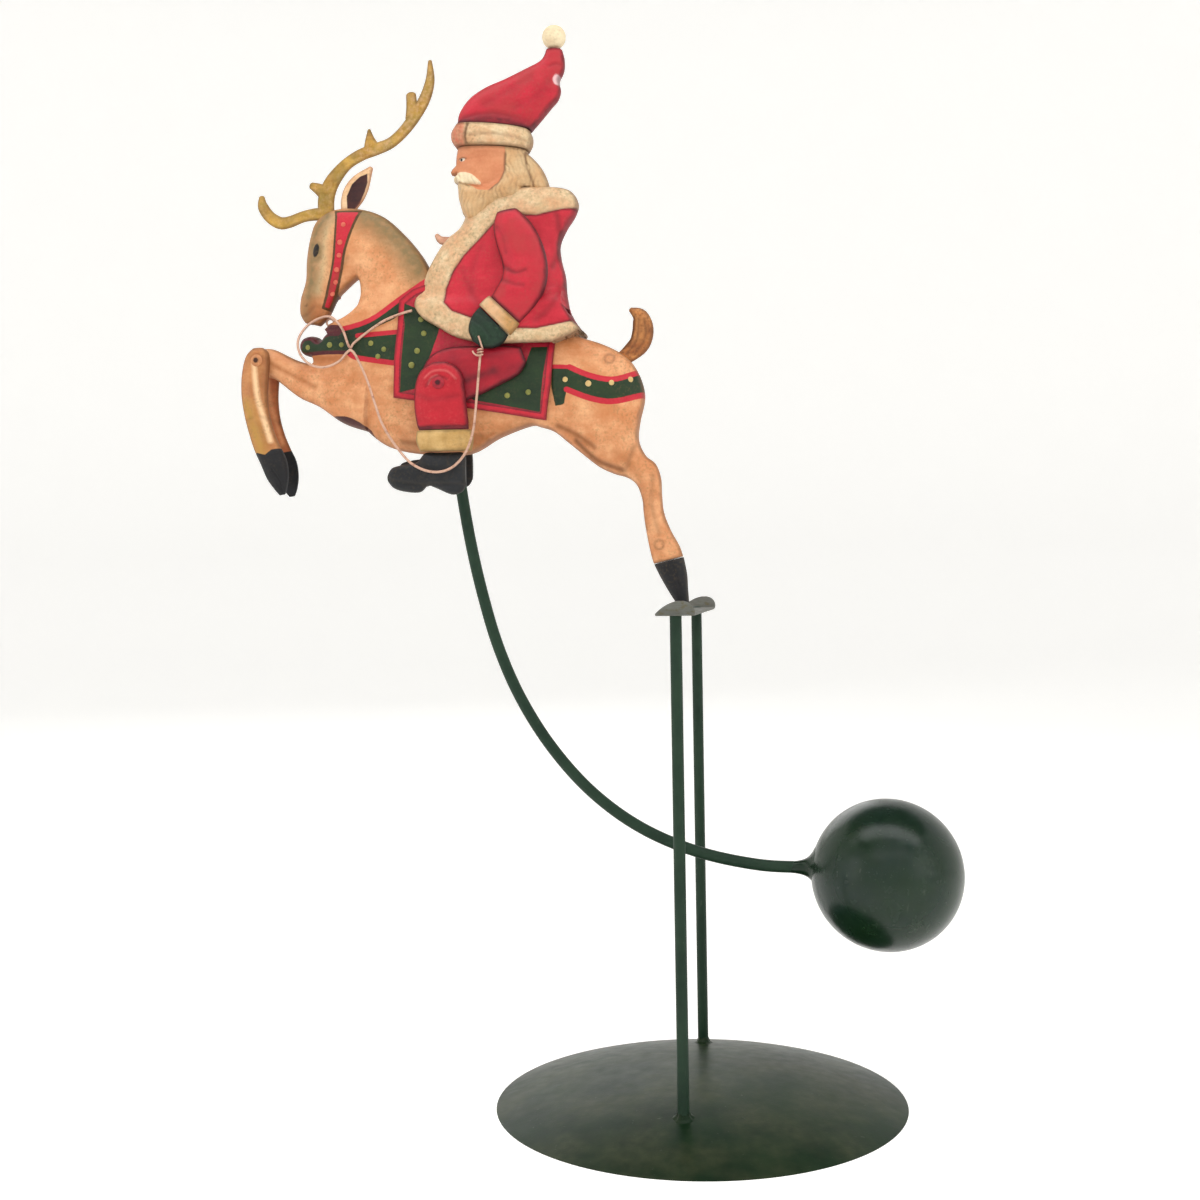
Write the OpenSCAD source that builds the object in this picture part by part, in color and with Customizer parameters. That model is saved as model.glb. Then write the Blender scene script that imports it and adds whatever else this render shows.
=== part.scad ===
// Balancing ornament: a rider on a leaping deer stands with one hoof on a
// small plate and is kept upright by a heavy ball on a curved arm below.
// X runs from the deer's nose (negative) to the ball (positive), Y runs from
// the near side (negative) to the far side, and Z is up from the table.

/* [Stand] */
// Diameter of the domed base
base_d = 154; // [140:1:180]
// Height of the dome above the table
base_rise = 13; // [8:1:20]
// Thickness of the base sheet
base_wall = 1.2; // [0.8:0.1:2.4]
// Height of the top of the pivot plate above the table
plate_z = 185.5; // [170:0.5:210]
// Distance between the axes of the two uprights
upright_gap = 87; // [82:1:96]
// Diameter of the uprights
upright_d = 4.2; // [3.6:0.1:5]
// Distance of the stand's axis from the middle of the base, towards the ball
stand_x = -2.4; // [-6:0.1:2]

/* [Pivot] */
// Width of the pivot plate
plate_w = 14; // [10:0.5:18]
// Thickness of the pivot plate
plate_t = 1; // [0.8:0.1:1.6]
// Bend radius of the plate's turned up ends
lip_r = 7; // [5:0.5:10]
// Angle through which the ends are turned up
lip_angle = 75; // [40:1:85]
// Diameter of the steel bead under the hoof
bead_d = 3.2; // [2.6:0.1:3.6]
// Distance of the hoof's pivot from the middle of the plate, towards the ball
pivot_shift = -1.2; // [-2:0.1:2]

/* [Counterweight] */
// Diameter of the arm
arm_d = 4.4; // [3.6:0.1:5]
// Diameter of the ball
ball_d = 56; // [50:0.5:60]
// Thickness of the ball's sheet
ball_wall = 1.2; // [0.8:0.1:2.4]
// Distance of the ball's centre from the pivot, level
ball_x = 74; // [70:0.5:84]
// Distance of the ball's centre below the pivot
ball_drop = 100.5; // [94:0.5:106]
// Depth of the ballast cast into the bottom of the ball
ballast_depth = 26.55; // [22:0.05:28]

/* [Figure] */
// Thickness of the deer's pressed sheet
sheet = 0.9; // [0.6:0.1:1.1]
// Thickness of the rider's pressed sheet
rider_sheet = 0.5; // [0.4:0.1:0.8]
// Depth of one half of the deer, from the seam to its flank
deer_depth = 9.5; // [8:0.5:11]
// Thickness of the saddle cloth
cloth_t = 0.7; // [0.5:0.1:1]
// Depth of the rider's skirt, shin and boot
layer_t = 3.2; // [2.4:0.1:4]
// Thickness of the antler and ear sheets
antler_t = 1.2; // [0.8:0.1:1.6]
// Thickness of the tail
tail_t = 3.4; // [2.4:0.1:4.4]
// Diameter of the rein wire
rein_d = 1; // [0.8:0.1:1.4]
// Diameter of the pompom
pompom_d = 9.2; // [7:0.1:10]

/* [Rivets] */
// Diameter of the knee rivets
rivet_d = 2.2; // [1.6:0.1:2.6]
// Diameter of the rivet heads
rivet_head_d = 4.6; // [3.8:0.1:5.4]
// Height of the rivet heads
rivet_head_t = 1; // [0.7:0.1:1.4]
// Room between a rivet and the limb that swings on it
swing_gap = 0.2; // [0.15:0.05:0.35]
// Room between pieces that lie against each other
seat_gap = 0.2; // [0.1:0.05:0.3]

/* [Hidden] */

dark_green = [0.10, 0.18, 0.13];
plate_grey = [0.55, 0.56, 0.55];
hide = [0.90, 0.66, 0.42];
hoof_black = [0.13, 0.13, 0.14];
antler_gold = [0.74, 0.58, 0.26];
coat_red = [0.76, 0.14, 0.20];
fur_cream = [0.90, 0.78, 0.58];
skin = [0.88, 0.62, 0.46];
cloth_green = [0.13, 0.27, 0.17];
wire_copper = [0.82, 0.62, 0.50];
steel = [0.62, 0.62, 0.60];

round_fn = 360;
fine_fn = 64;
small_fn = 32;
// Sides of a half section and steps between two ribs of a pressed shape
section_steps = 7;
rib_steps = 2;
strip_steps = 2;
// Flatness of a pressed section: 1 is an ellipse, 0 is a box
crown = 0.72;
// How far a cutting shape's straight sides stop from the seam plane
past_seam = 0.37;
// How far a shell's edge stays off the seam plane
edge_gap = 0.04;
// Size of a block larger than the whole figure
beyond = 2 * plate_z;

// The stand's heights
base_r = base_d / 2;
dome_r = (base_r * base_r + base_rise * base_rise) / (2 * base_rise);
upright_y = upright_gap / 2;
foot_z = base_rise - dome_r + sqrt(dome_r * dome_r - upright_y * upright_y);
tenon_d = 0.62 * upright_d;
weld_d = upright_d + 4;
weld_top_d = upright_d + 0.8;
weld_h = 2;
weld_lift = 0.1;
foot_slope = asin(upright_y / dome_r);
lip_start = upright_y + upright_d / 2 + 0.6;
bead_sink = 0.1;
pivot_z = plate_z + bead_d / 2 - bead_sink;
pivot_x = stand_x + pivot_shift;
bead_room = 0.25;

// How far out from the seam each layer of the figure starts
cloth_w = deer_depth + seat_gap;
saddle_w = cloth_w + cloth_t + seat_gap;
skirt_w = saddle_w + 0.2;
thigh_w = saddle_w + 0.2;
sleeve_w = skirt_w + 1.2;
cuff_w = skirt_w + layer_t + seat_gap;
limb_gap = 0.4;
thigh_t = layer_t + 0.2;
shin_w = thigh_w + thigh_t + limb_gap;
knee_depth = 0.52 * deer_depth;
foreleg_w = knee_depth + limb_gap;
rein_w = shin_w + layer_t + 2 * rivet_head_t + rein_d / 2 - 0.4;

// Places of the two knees, from the pivot
deer_knee = [-162.5, 97];
rider_knee = [-88.5, 84.7];
// The rider's far leg sits further forward and higher than the near one
far_leg_shift = [-4.5, 4];

// Ribs of the deer from its nose over neck, back and haunch to the hind hoof.
// A rib is its upper end, its lower end and its share of the full depth.
deer_ribs = [
    [-145.5, 112, -139.5, 110.5, 0.28], [-147.2, 115.5, -135.8, 114.5, 0.45],
    [-146.8, 121, -132.3, 121, 0.55], [-144.6, 128, -127.5, 125.6, 0.62],
    [-144, 136, -125, 127.6, 0.68], [-142.5, 144, -124, 128.1, 0.72],
    [-139.5, 151, -123.4, 128.1, 0.74], [-132, 155, -122.9, 127.2, 0.74],
    [-122, 154.6, -122.4, 125.2, 0.75], [-113, 151.2, -122.4, 122.3, 0.78],
    [-105, 144, -123, 119.2, 0.83], [-98.5, 136, -125.5, 115, 0.88],
    [-94, 128, -132, 111, 0.93], [-89.5, 121.7, -141, 108, 0.95],
    [-84.5, 117.2, -148, 104.5, 0.96], [-80, 113.7, -149.2, 100, 0.97],
    [-74, 111, -146, 95.5, 0.98], [-68, 109.2, -138.2, 88, 1],
    [-63, 108, -128.5, 78, 1], [-58, 106.8, -119.5, 67.6, 1],
    [-54, 105.8, -110.5, 62, 1], [-50, 105, -97, 59.5, 1],
    [-45.5, 104, -81, 59.2, 1], [-40, 103, -69.5, 65, 1],
    [-34, 101, -57.5, 69.2, 1], [-29, 99.2, -53, 68.6, 1],
    [-23, 96.2, -48, 66.8, 1], [-18, 92, -43.5, 63.2, 0.98],
    [-14.4, 85.2, -38.5, 59, 0.94], [-13.3, 78.4, -31, 53, 0.86],
    [-15.2, 70.2, -25.2, 50.2, 0.74], [-15.9, 63, -21.2, 49, 0.62],
    [-13.4, 57, -18.2, 47.3, 0.53], [-9.6, 53.6, -16.3, 44.8, 0.48],
    [-7.7, 48.3, -14.8, 40, 0.45], [-7.4, 42, -14.5, 35.8, 0.44],
    [-6.8, 35.5, -13.8, 29.8, 0.43], [-4.4, 28.8, -12.8, 24, 0.43],
    [-1.2, 22.8, -11.8, 19.2, 0.45], [0.2, 18.7, -10.9, 16.05, 0.45]];
hoof_ribs = [
    [0.4, 18.4, -10.8, 15.8, 0.44], [1.6, 12, -8.4, 10.8, 0.41],
    [1.9, 6, -5.4, 5.4, 0.32], [2.3, 0.4, -2.3, 0.4, 0.25]];
forearm_ribs = [
    [-166, 99.5, -165, 94.5, 0.36], [-164, 101.8, -162.5, 91.8, 0.48],
    [-158.5, 102.2, -157.5, 90.2, 0.5], [-148.5, 97.4, -148.5, 83.2, 0.52],
    [-138.5, 94.6, -140, 79, 0.7], [-129, 92, -130.5, 72.4, 0.9],
    [-119, 90, -121, 69, 0.96]];
foreleg_ribs = [
    [-165, 102, -161, 102.2, 0.5], [-167.4, 99.6, -158.8, 100.4, 0.85],
    [-168.8, 96, -158.4, 96.6, 1], [-169.8, 90, -158.8, 91, 1], [-169.8, 83, -159.3, 84, 1],
    [-168.8, 76, -158.8, 77, 0.95], [-167.2, 69.4, -157.3, 70.6, 0.95],
    [-165.2, 63, -155, 64.6, 1], [-162.6, 57, -152.4, 59, 1],
    [-160.2, 51.4, -151.6, 53.4, 0.9], [-157.4, 47.4, -152.2, 48.4, 0.7],
    [-155.4, 45, -153.2, 45.4, 0.4]];

// Ribs of the rider, from the front to the back of each part
coat_depth = 13;
coat_ribs = [
    [-81.2, 156.7, -51, 159.2, 0.5], [-81.2, 152, -41, 157.8, 0.62], [-81.2, 148.5, -37.4, 153, 0.72],
    [-83.6, 144.4, -38.6, 148.4, 0.79], [-88, 141, -42, 143.4, 0.84],
    [-92, 136, -44.6, 137.4, 0.88], [-95.4, 130, -44.2, 131.4, 0.92],
    [-97.8, 124, -42.8, 125.4, 0.95], [-98.4, 117, -42.4, 119, 0.98], [-96, 112, -41.4, 112.6, 1]];
skirt_ribs = [
    [-96.6, 127, -46, 128, 0.4], [-98.6, 120.4, -43.4, 121, 0.85], [-99, 115, -43, 115, 1],
    [-96.2, 110.4, -41, 110.4, 1], [-90, 106.4, -38.6, 106.8, 1], [-83, 102.4, -36.6, 103.4, 0.9],
    [-72, 99.4, -46, 99.2, 0.7]];
head_depth = 8;
head_ribs = [
    [-83.4, 175.5, -56.6, 173.3, 0.94], [-84.2, 170, -54.6, 168, 1], [-83.6, 164, -52, 163.4, 1],
    [-82, 157, -50, 159.6, 0.9]];
band_ribs = [
    [-83.8, 184.4, -55.4, 180.8, 1.02], [-85.6, 181.4, -54.6, 178.6, 1.12],
    [-85.6, 178.4, -54.8, 176, 1.12], [-84, 175.8, -56, 173.6, 1.02]];
hat_ribs = [
    [-83.4, 184.8, -54.8, 181.2, 0.96], [-82.4, 189, -51, 185.2, 0.95],
    [-78.6, 194, -47, 189.6, 0.9], [-72.6, 197.8, -44.4, 192.4, 0.82],
    [-65, 200.6, -43.4, 195.6, 0.74], [-57, 204, -43.8, 199, 0.64],
    [-51.4, 206.6, -42, 203, 0.52], [-49.4, 209, -41.8, 207.4, 0.44],
    [-48.8, 211, -42.6, 210.8, 0.38]];
arm_depth = 5.6;
sleeve_ribs = [
    [-66.4, 147.6, -58.6, 149, 0.5], [-67.6, 142.6, -54, 144.4, 0.8],
    [-66.6, 136, -50, 137.6, 0.95], [-64.6, 129.4, -47.6, 129, 1], [-64.4, 124.4, -48, 120.6, 1],
    [-66.8, 119.8, -51.6, 113, 0.95], [-69, 116.6, -57.8, 106.2, 0.85]];
cuff_ribs = [
    [-69.3, 116.8, -58, 106, 1], [-71.2, 115.4, -59.6, 103.8, 1.1], [-73.2, 113.6, -61.6, 101.8, 1]];
mitten_ribs = [
    [-73, 112.8, -62.4, 101.9, 0.8], [-76, 109.4, -64.2, 99.2, 0.95],
    [-77.4, 104.6, -67.4, 97.4, 0.95], [-76, 100.2, -71.8, 97.2, 0.6]];
thigh_ribs = [
    [-58.4, 97.8, -56.4, 92, 0.5], [-66, 98.6, -59.4, 87.6, 0.85], [-76, 98.8, -66, 84.2, 1],
    [-86, 98.6, -73, 81, 1], [-93, 95.6, -78.4, 79, 1], [-96.4, 90, -84, 77, 1],
    [-96.6, 84.2, -91.6, 77.6, 0.8]];
shin_ribs = [
    [-91.2, 92.7, -85.8, 92.7, 0.5], [-95, 90.6, -82, 90.6, 0.85], [-97.2, 87.4, -79.9, 87.4, 1],
    [-98.4, 82.6, -79.2, 82.6, 1], [-98.6, 76, -78.6, 76, 1], [-97.8, 70, -78, 70, 1],
    [-97, 67.6, -78, 67.4, 0.95]];
boot_cuff_ribs = [
    [-97.8, 67.3, -76.6, 67.1, 1.08], [-98.2, 63.4, -76.2, 63.2, 1.2], [-96.6, 59.5, -77, 59.3, 1.08]];
boot_ribs = [
    [-109.2, 51.4, -109.2, 48.4, 0.5], [-107.4, 53.8, -107, 46, 0.85],
    [-103, 54.8, -102.6, 44.6, 1], [-98, 55.6, -97, 44.3, 1], [-94.6, 59, -93.2, 44.8, 1],
    [-90, 59, -90.2, 45.2, 1], [-84.4, 59, -85, 43.2, 1], [-80.8, 58.9, -81, 44, 0.9],
    [-79.2, 57.4, -79.2, 46.6, 0.6]];

// Centre lines of the flat pieces: place and half width
antler_beam = [
    [-135.7, 150.5, 3], [-136.4, 156.2, 3.3], [-135.9, 161.2, 3.3], [-133.4, 166.5, 3],
    [-128.1, 172.3, 2.4], [-122, 175.8, 2.4], [-115.6, 177.8, 2.4], [-110, 179.8, 2.2],
    [-104.8, 184, 2.2], [-100.3, 189.5, 2.4], [-96.2, 196.1, 2.3], [-94.1, 202.9, 1.8],
    [-94, 209.9, 0.8]];
antler_brow = [
    [-136.4, 153.6, 2.6], [-140.9, 153.9, 2.4], [-145.8, 153.2, 2.2], [-151.1, 151.5, 2.3],
    [-155.1, 151.3, 2.4], [-159.2, 153.9, 2.3], [-161.9, 157.9, 2.1], [-162.3, 161.4, 1.2]];
antler_tines = [
    [[-135.9, 161, 3], [-138.7, 163.3, 2.4], [-141.9, 165, 1.4]],
    [[-117.4, 177, 4], [-118.3, 181.4, 2], [-118.6, 185.2, 0.6]],
    [[-100.8, 189, 3.4], [-101.4, 193.4, 2.3], [-101.7, 197.4, 2]]];
ear_line = [
    [-127.6, 152, 2], [-127, 156.5, 3.6], [-125, 161, 4.6], [-122, 165.6, 3.8], [-118.2, 170.4, 1]];
tail_line = [
    [-22, 93.4, 2.6], [-18.4, 95.8, 3.4], [-14.8, 99.4, 4], [-13.6, 104.6, 4],
    [-14.8, 109.4, 3], [-18, 111.8, 1]];
curl_line = [[-84.6, 140.4, 2.2], [-88.2, 140.9, 1.8], [-91, 141.6, 1.5], [-92.6, 143.4, 0.9]];
cloth_outline = [
    [-105, 124], [-107.4, 101], [-108, 80.6], [-98, 79], [-78, 75.6], [-50, 70.6],
    [-47.6, 84], [-46.4, 97], [-46, 110], [-80, 124]];

// Route of the arm from the deer's belly down and round to the ball
arm_top = [-88.9, 84];
arm_belly = [-85, 48];
// The arm enters the ball level and lies on the flat top of the ballast.
// Its rise is the height of its axis above the ball's centre.
ballast_r = ball_d / 2 - ball_wall - seat_gap / 2;
ballast_top = ballast_depth - ballast_r;
arm_rise = ballast_top + arm_d / 2 + 2 * seat_gap;
arm_route = [arm_top, [-86.5, 62], arm_belly, [-81.7, 27], [-77.2, 6], [-71.2, -15],
    [-62.6, -35], [-50.6, -54], [-35.6, -70.6], [-17.6, -83.6],
    [ball_x - 70.8, 8.1 - ball_drop], [ball_x - 48, 3.3 - ball_drop],
    [ball_x - ball_d / 2 - 1, arm_rise - ball_drop],
    [ball_x - ball_d / 2 + 12, arm_rise - ball_drop],
    [ball_x - ball_d / 2 + 18, arm_rise - ball_drop]];
arm_steps = 2;
arm_sides = 10;
arm_slope = atan2(arm_top.x - arm_belly.x, arm_top.y - arm_belly.y);
block_d = 22;
block_l = 1.74 * (deer_depth - sheet);
collar_l = 2.4;

// Route of the rein wire: out from the seam, level and height from the pivot
rein_route = [
    [-99.8, 113, 11.6], [-104, 112.2, 10.9], [-111, 109.8, 10.6], [-118, 105.6, 10.4],
    [-123, 102, 10.2], [-124.9, 100.4, 10.2], [-127.6, 107.6, 10.4], [-132.4, 112.4, 8.6],
    [-138, 112.8, 5.2], [-143, 109.6, 6.4], [-145.4, 104, 9.4], [-144.2, 98.4, 10.8],
    [-140, 94.2, 11.4], [-134.4, 93, 11.6], [-128.6, 95, 11.6], [-124, 99, 11.8],
    [-120.4, 94, 12.4], [-116.6, 86, 14], [-112.6, 77, rein_w - 1.4], [-109.6, 69.6, rein_w],
    [-105, 62, rein_w], [-99, 55, rein_w], [-91.6, 51.6, rein_w], [-84.4, 52.4, rein_w],
    [-78.6, 57.6, rein_w], [-75.2, 66, rein_w], [-73.6, 78, rein_w], [-72.8, 88, rein_w - 1],
    [-72.4, 96, rein_w - 3]];
rein_steps = 2;
rein_sides = 6;
ring_place = [-135.6, 111.8];
ring_r = 1.4;
ring_d = 0.8;

// Smooth curves through a list of points or ribs
function between(a, b, c, d, t) = 0.5 * (2 * b + (c - a) * t + (2 * a - 5 * b + 4 * c - d) * t * t
    + (3 * b - a - 3 * c + d) * t * t * t);
function smooth(p, n) = concat(
    [for (i = [0:len(p) - 2]) for (k = [0:n - 1])
        between(p[max(i - 1, 0)], p[i], p[i + 1], p[min(i + 2, len(p) - 1)], k / n)],
    [p[len(p) - 1]]);

// How far an end moves along its rib so that the outline there moves by grow.
// The outline runs along t and the rib along e.
function slide(t, e, grow) =
    norm(t) < 0.01 ? grow : grow / max(0.4, abs(cross(t, e)) / norm(t));
function upper(r) = [r[0], r[1]];
function lower(r) = [r[2], r[3]];

// One section of a pressed half: an arc from the rib's upper end to its lower
// end, bulging towards the near side, closed at the seam or past it by back.
// The ribs before and after are a and b.
function rib_section(a, r, b, depth, grow, back) =
    let (h = upper(r) - lower(r), e = h / norm(h), most = 0.37 * norm(h),
        u = upper(r) + e * max(-most, slide(upper(b) - upper(a), e, grow)),
        l = lower(r) - e * max(-most, slide(lower(b) - lower(a), e, grow)),
        w = max(0.3, r[4] * depth + grow))
    concat(back > 0 ? [[u.x, back, u.y]] : [],
        [for (i = [0:section_steps])
            let (s = 180 * i / section_steps, p = (u + l) / 2 + (u - l) / 2 * cos(s))
            [p.x, i % section_steps == 0 && back > 0 ? past_seam : -w * pow(abs(sin(s)), crown), p.y]],
        back > 0 ? [[l.x, back, l.y]] : []);

// The two end ribs move along the shape when it grows or shrinks
function end_shift(a, b, grow) =
    let (d = norm([a[0] + a[2] - b[0] - b[2], a[1] + a[3] - b[1] - b[3]]) / 2)
    a + (b - a) * min(0.8, -grow / d);
function grown(f, grow, open_end) =
    let (m = len(f))
    concat([end_shift(f[0], f[1], grow)], [for (j = [1:m - 2]) f[j]],
        [end_shift(f[m - 1], f[m - 2], open_end ? -grow : grow)]);

// Whether the ribs follow each other to the right when their upper ends point up
function runs_right(ribs) =
    let (a = ribs[0], b = ribs[1])
    (a[0] - a[2]) * (b[1] + b[3] - a[1] - a[3]) < (a[1] - a[3]) * (b[0] + b[2] - a[0] - a[2]);

// A pressed half shape from its ribs. Where it grows or shrinks, all its faces
// move by the same amount, and back carries a cutting shape past the seam.
module half_form(ribs, depth, grow = 0, back = 0, open_end = false) {
    f = grown(smooth(ribs, rib_steps), grow, open_end);
    m = len(f);
    rows = [for (j = [0:m - 1])
        rib_section(f[max(j - 1, 0)], f[j], f[min(j + 1, m - 1)], depth, grow, back)];
    n = len(rows[0]);
    faces = concat(
        [[for (i = [0:n - 1]) i]],
        [[for (i = [n - 1:-1:0]) (m - 1) * n + i]],
        [for (j = [0:m - 2]) for (i = [0:n - 1]) [j * n + i, j * n + i + n, j * n + (i + 1) % n]],
        [for (j = [0:m - 2]) for (i = [0:n - 1])
            [j * n + (i + 1) % n, j * n + i + n, j * n + n + (i + 1) % n]]);
    polyhedron([for (r = rows) for (p = r) p],
        runs_right(ribs) ? faces : [for (f = faces) [for (i = [len(f) - 1:-1:0]) f[i]]]);
}

// Cuts a pressed half off just before the seam plane
module trimmed() difference() {
    children();
    translate([-beyond, -edge_gap, -beyond]) cube(2 * beyond);
}

// A hollow pressed half of the rider, open at its back
module half_shell(ribs, depth) difference() {
    trimmed() half_form(ribs, depth);
    half_form(ribs, depth, -rider_sheet, 1);
}

// A strip of varying width along a centre line
function strip(line, extra) =
    let (s = smooth(line, strip_steps), m = len(s),
        n = [for (i = [0:m - 1]) let (d = s[min(i + 1, m - 1)] - s[max(i - 1, 0)])
            [-d.y, d.x] / norm([d.x, d.y])])
    concat([for (i = [0:m - 1]) [s[i].x, s[i].y] + n[i] * (s[i].z + extra)],
        [for (i = [m - 1:-1:0]) [s[i].x, s[i].y] - n[i] * (s[i].z + extra)]);
module flat_strip(line, t, extra = 0)
    rotate([90, 0, 0]) linear_extrude(t, center = true) polygon(strip(line, extra));

// A round tube along a route of points in space
function ring_at(p, t, r, sides) =
    let (a = cross(t, [0.31, 0.9, 0.17]), u = a / norm(a), v = cross(t, u))
    [for (i = [0:sides - 1]) p + r * (cos(360 * i / sides) * u + sin(360 * i / sides) * v)];
module tube(route, d, sides) {
    m = len(route);
    rings = [for (i = [0:m - 1])
        let (t = route[min(i + 1, m - 1)] - route[max(i - 1, 0)])
        ring_at(route[i], t / norm(t), d / 2 / cos(180 / sides), sides)];
    polyhedron([for (r = rings) for (p = r) p], concat(
        [[for (i = [0:sides - 1]) i]],
        [[for (i = [sides - 1:-1:0]) (m - 1) * sides + i]],
        [for (j = [0:m - 2]) for (i = [0:sides - 1])
            [j * sides + i, j * sides + sides + i, j * sides + (i + 1) % sides]],
        [for (j = [0:m - 2]) for (i = [0:sides - 1])
            [j * sides + (i + 1) % sides, j * sides + sides + i,
                j * sides + sides + (i + 1) % sides]]));
}

// The figure's own frame starts at the pivot, and its far side mirrors its near side
module figure() translate([pivot_x, 0, pivot_z]) children();
module far() mirror([0, 1, 0]) children();
module out(w) translate([0, -w, 0]) children();
module bar(place, d, from_w, to_w)
    translate([place.x, -from_w, place.y]) rotate([90, 0, 0])
        cylinder(h = to_w - from_w, d = d, $fn = fine_fn);

// A low domed rivet head on the plane w
module rivet_head(place, w) {
    r = (rivet_head_d * rivet_head_d / 4 + rivet_head_t * rivet_head_t) / (2 * rivet_head_t);
    translate([place.x, -w, place.y]) rotate([90, 0, 0]) rotate_extrude($fn = fine_fn)
        intersection() {
            translate([0, rivet_head_t - r]) circle(r, $fn = fine_fn);
            square([rivet_head_d, rivet_head_t]);
        }
}

module base_dome() color(dark_green) difference() {
    rotate_extrude($fn = 180) difference() {
        intersection() {
            translate([0, base_rise - dome_r]) circle(dome_r, $fn = 180);
            square([base_d, base_rise + 1]);
        }
        translate([0, base_rise - base_wall - dome_r]) circle(dome_r, $fn = 180);
    }
    for (s = [-1, 1]) translate([stand_x, s * upright_y, -1])
        cylinder(h = base_rise + 2, d = upright_d + 0.1, $fn = fine_fn);
}

module upright(s) translate([stand_x, s * upright_y, 0]) {
    translate([0, 0, foot_z - base_wall - 0.6])
        cylinder(h = plate_z - plate_t - foot_z + base_wall + 0.6, d = upright_d, $fn = fine_fn);
    cylinder(h = plate_z, d = tenon_d, $fn = fine_fn);
}
module upright_from_foot(s) difference() {
    upright(s);
    translate([stand_x, s * upright_y, -1])
        cylinder(h = foot_z - base_wall + 0.4, d = upright_d + 2, $fn = fine_fn);
}
module front_upright() color(dark_green) upright_from_foot(-1);
module rear_upright() color(dark_green) upright_from_foot(1);

// A low cone of weld that leans with the dome
module weld(s) difference() {
    translate([stand_x, s * upright_y, foot_z]) rotate([-s * foot_slope, 0, 0])
        translate([0, 0, weld_lift])
            cylinder(h = weld_h, d1 = weld_d, d2 = weld_top_d, $fn = fine_fn);
    translate([stand_x, s * upright_y, 0])
        cylinder(h = plate_z, d = upright_d + 0.1, $fn = fine_fn);
}
module upright_welds() color(dark_green) {
    weld(-1);
    weld(1);
}

// The plate is a strip along Y whose two ends bend up
module plate_side() {
    square([lip_start, plate_t]);
    translate([lip_start, lip_r]) intersection() {
        difference() {
            circle(lip_r, $fn = fine_fn);
            circle(lip_r - plate_t, $fn = fine_fn);
        }
        polygon([[0, 0], [0, -2 * lip_r], [2 * lip_r * tan(lip_angle / 2), -2 * lip_r],
            [3 * lip_r * sin(lip_angle), -3 * lip_r * cos(lip_angle)]]);
    }
}
module pivot_plate() color(plate_grey) difference() {
    translate([stand_x, 0, plate_z - plate_t]) rotate([90, 0, 90])
        linear_extrude(plate_w, center = true) {
            plate_side();
            mirror([1, 0]) plate_side();
        }
    for (s = [-1, 1]) translate([stand_x, s * upright_y, plate_z - 3])
        cylinder(h = 6, d = tenon_d + 0.1, $fn = fine_fn);
    translate([pivot_x, 0, pivot_z]) sphere(bead_d / 2 + bead_room, $fn = fine_fn);
}

module pivot_bead() color(steel) figure() sphere(d = bead_d, $fn = fine_fn);

// Holes in the deer's shells where other pieces pass the seam
module seam_cuts() {
    rotate([90, 0, 0]) linear_extrude(antler_t + 2 * seat_gap, center = true)
        polygon([[-142, 146.5], [-122.5, 150], [-122.5, 158], [-142, 158]]);
    flat_strip(tail_line, tail_t + 2 * seat_gap, seat_gap);
    translate([arm_top.x, 0, arm_top.y]) rotate([0, 180 + arm_slope, 0])
        cylinder(h = 40, d = arm_d + 2 * seat_gap, $fn = fine_fn);
    bar(deer_knee, rivet_d + 0.1, -1, deer_depth);
}
module deer_shell() difference() {
    trimmed() {
        half_form(deer_ribs, deer_depth, 0, 1);
        half_form(forearm_ribs, deer_depth, 0, 1.5);
    }
    half_form(deer_ribs, deer_depth, -sheet, 1);
    half_form(forearm_ribs, deer_depth, -sheet, 1);
    seam_cuts();
}
module deer_near_shell() color(hide) figure() deer_shell();
module deer_far_shell() color(hide) figure() far() deer_shell();

module hind_hoof() color(hoof_black) figure() difference() {
    union() {
        half_form(hoof_ribs, deer_depth);
        far() half_form(hoof_ribs, deer_depth);
    }
    sphere(bead_d / 2 + bead_room, $fn = fine_fn);
}

module antler() color(antler_gold) figure() {
    flat_strip(antler_beam, antler_t);
    flat_strip(antler_brow, antler_t);
    for (tine = antler_tines) flat_strip(tine, antler_t);
}
module ear() color(hide) figure() flat_strip(ear_line, antler_t);
module tail() color(hide) figure() flat_strip(tail_line, tail_t);

// The part of the deer that the rider and the cloth lie on
back_ribs = [for (i = [9:27]) deer_ribs[i]];
module saddle_cloth() intersection() {
    difference() {
        half_form(back_ribs, deer_depth, seat_gap + cloth_t, 1);
        half_form(back_ribs, deer_depth, seat_gap, 2, true);
    }
    out(edge_gap) rotate([90, 0, 0]) linear_extrude(3 * deer_depth) polygon(cloth_outline);
}
module saddle_cloth_near() color(cloth_green) figure() saddle_cloth();
module saddle_cloth_far() color(cloth_green) figure() far() saddle_cloth();

module skirt() out(skirt_w) half_shell(skirt_ribs, layer_t);
module coat() {
    difference() {
        trimmed() half_form(coat_ribs, coat_depth);
        half_form(coat_ribs, coat_depth, -rider_sheet, 1, true);
        half_form(back_ribs, deer_depth, 2 * seat_gap + cloth_t, 1, true);
        flat_strip(curl_line, antler_t + 2 * seat_gap, seat_gap);
    }
    skirt();
}
module beard_curl() color(fur_cream) figure() flat_strip(curl_line, antler_t);
module coat_near() color(coat_red) figure() coat();
module coat_far() color(coat_red) figure() far() coat();

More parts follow.
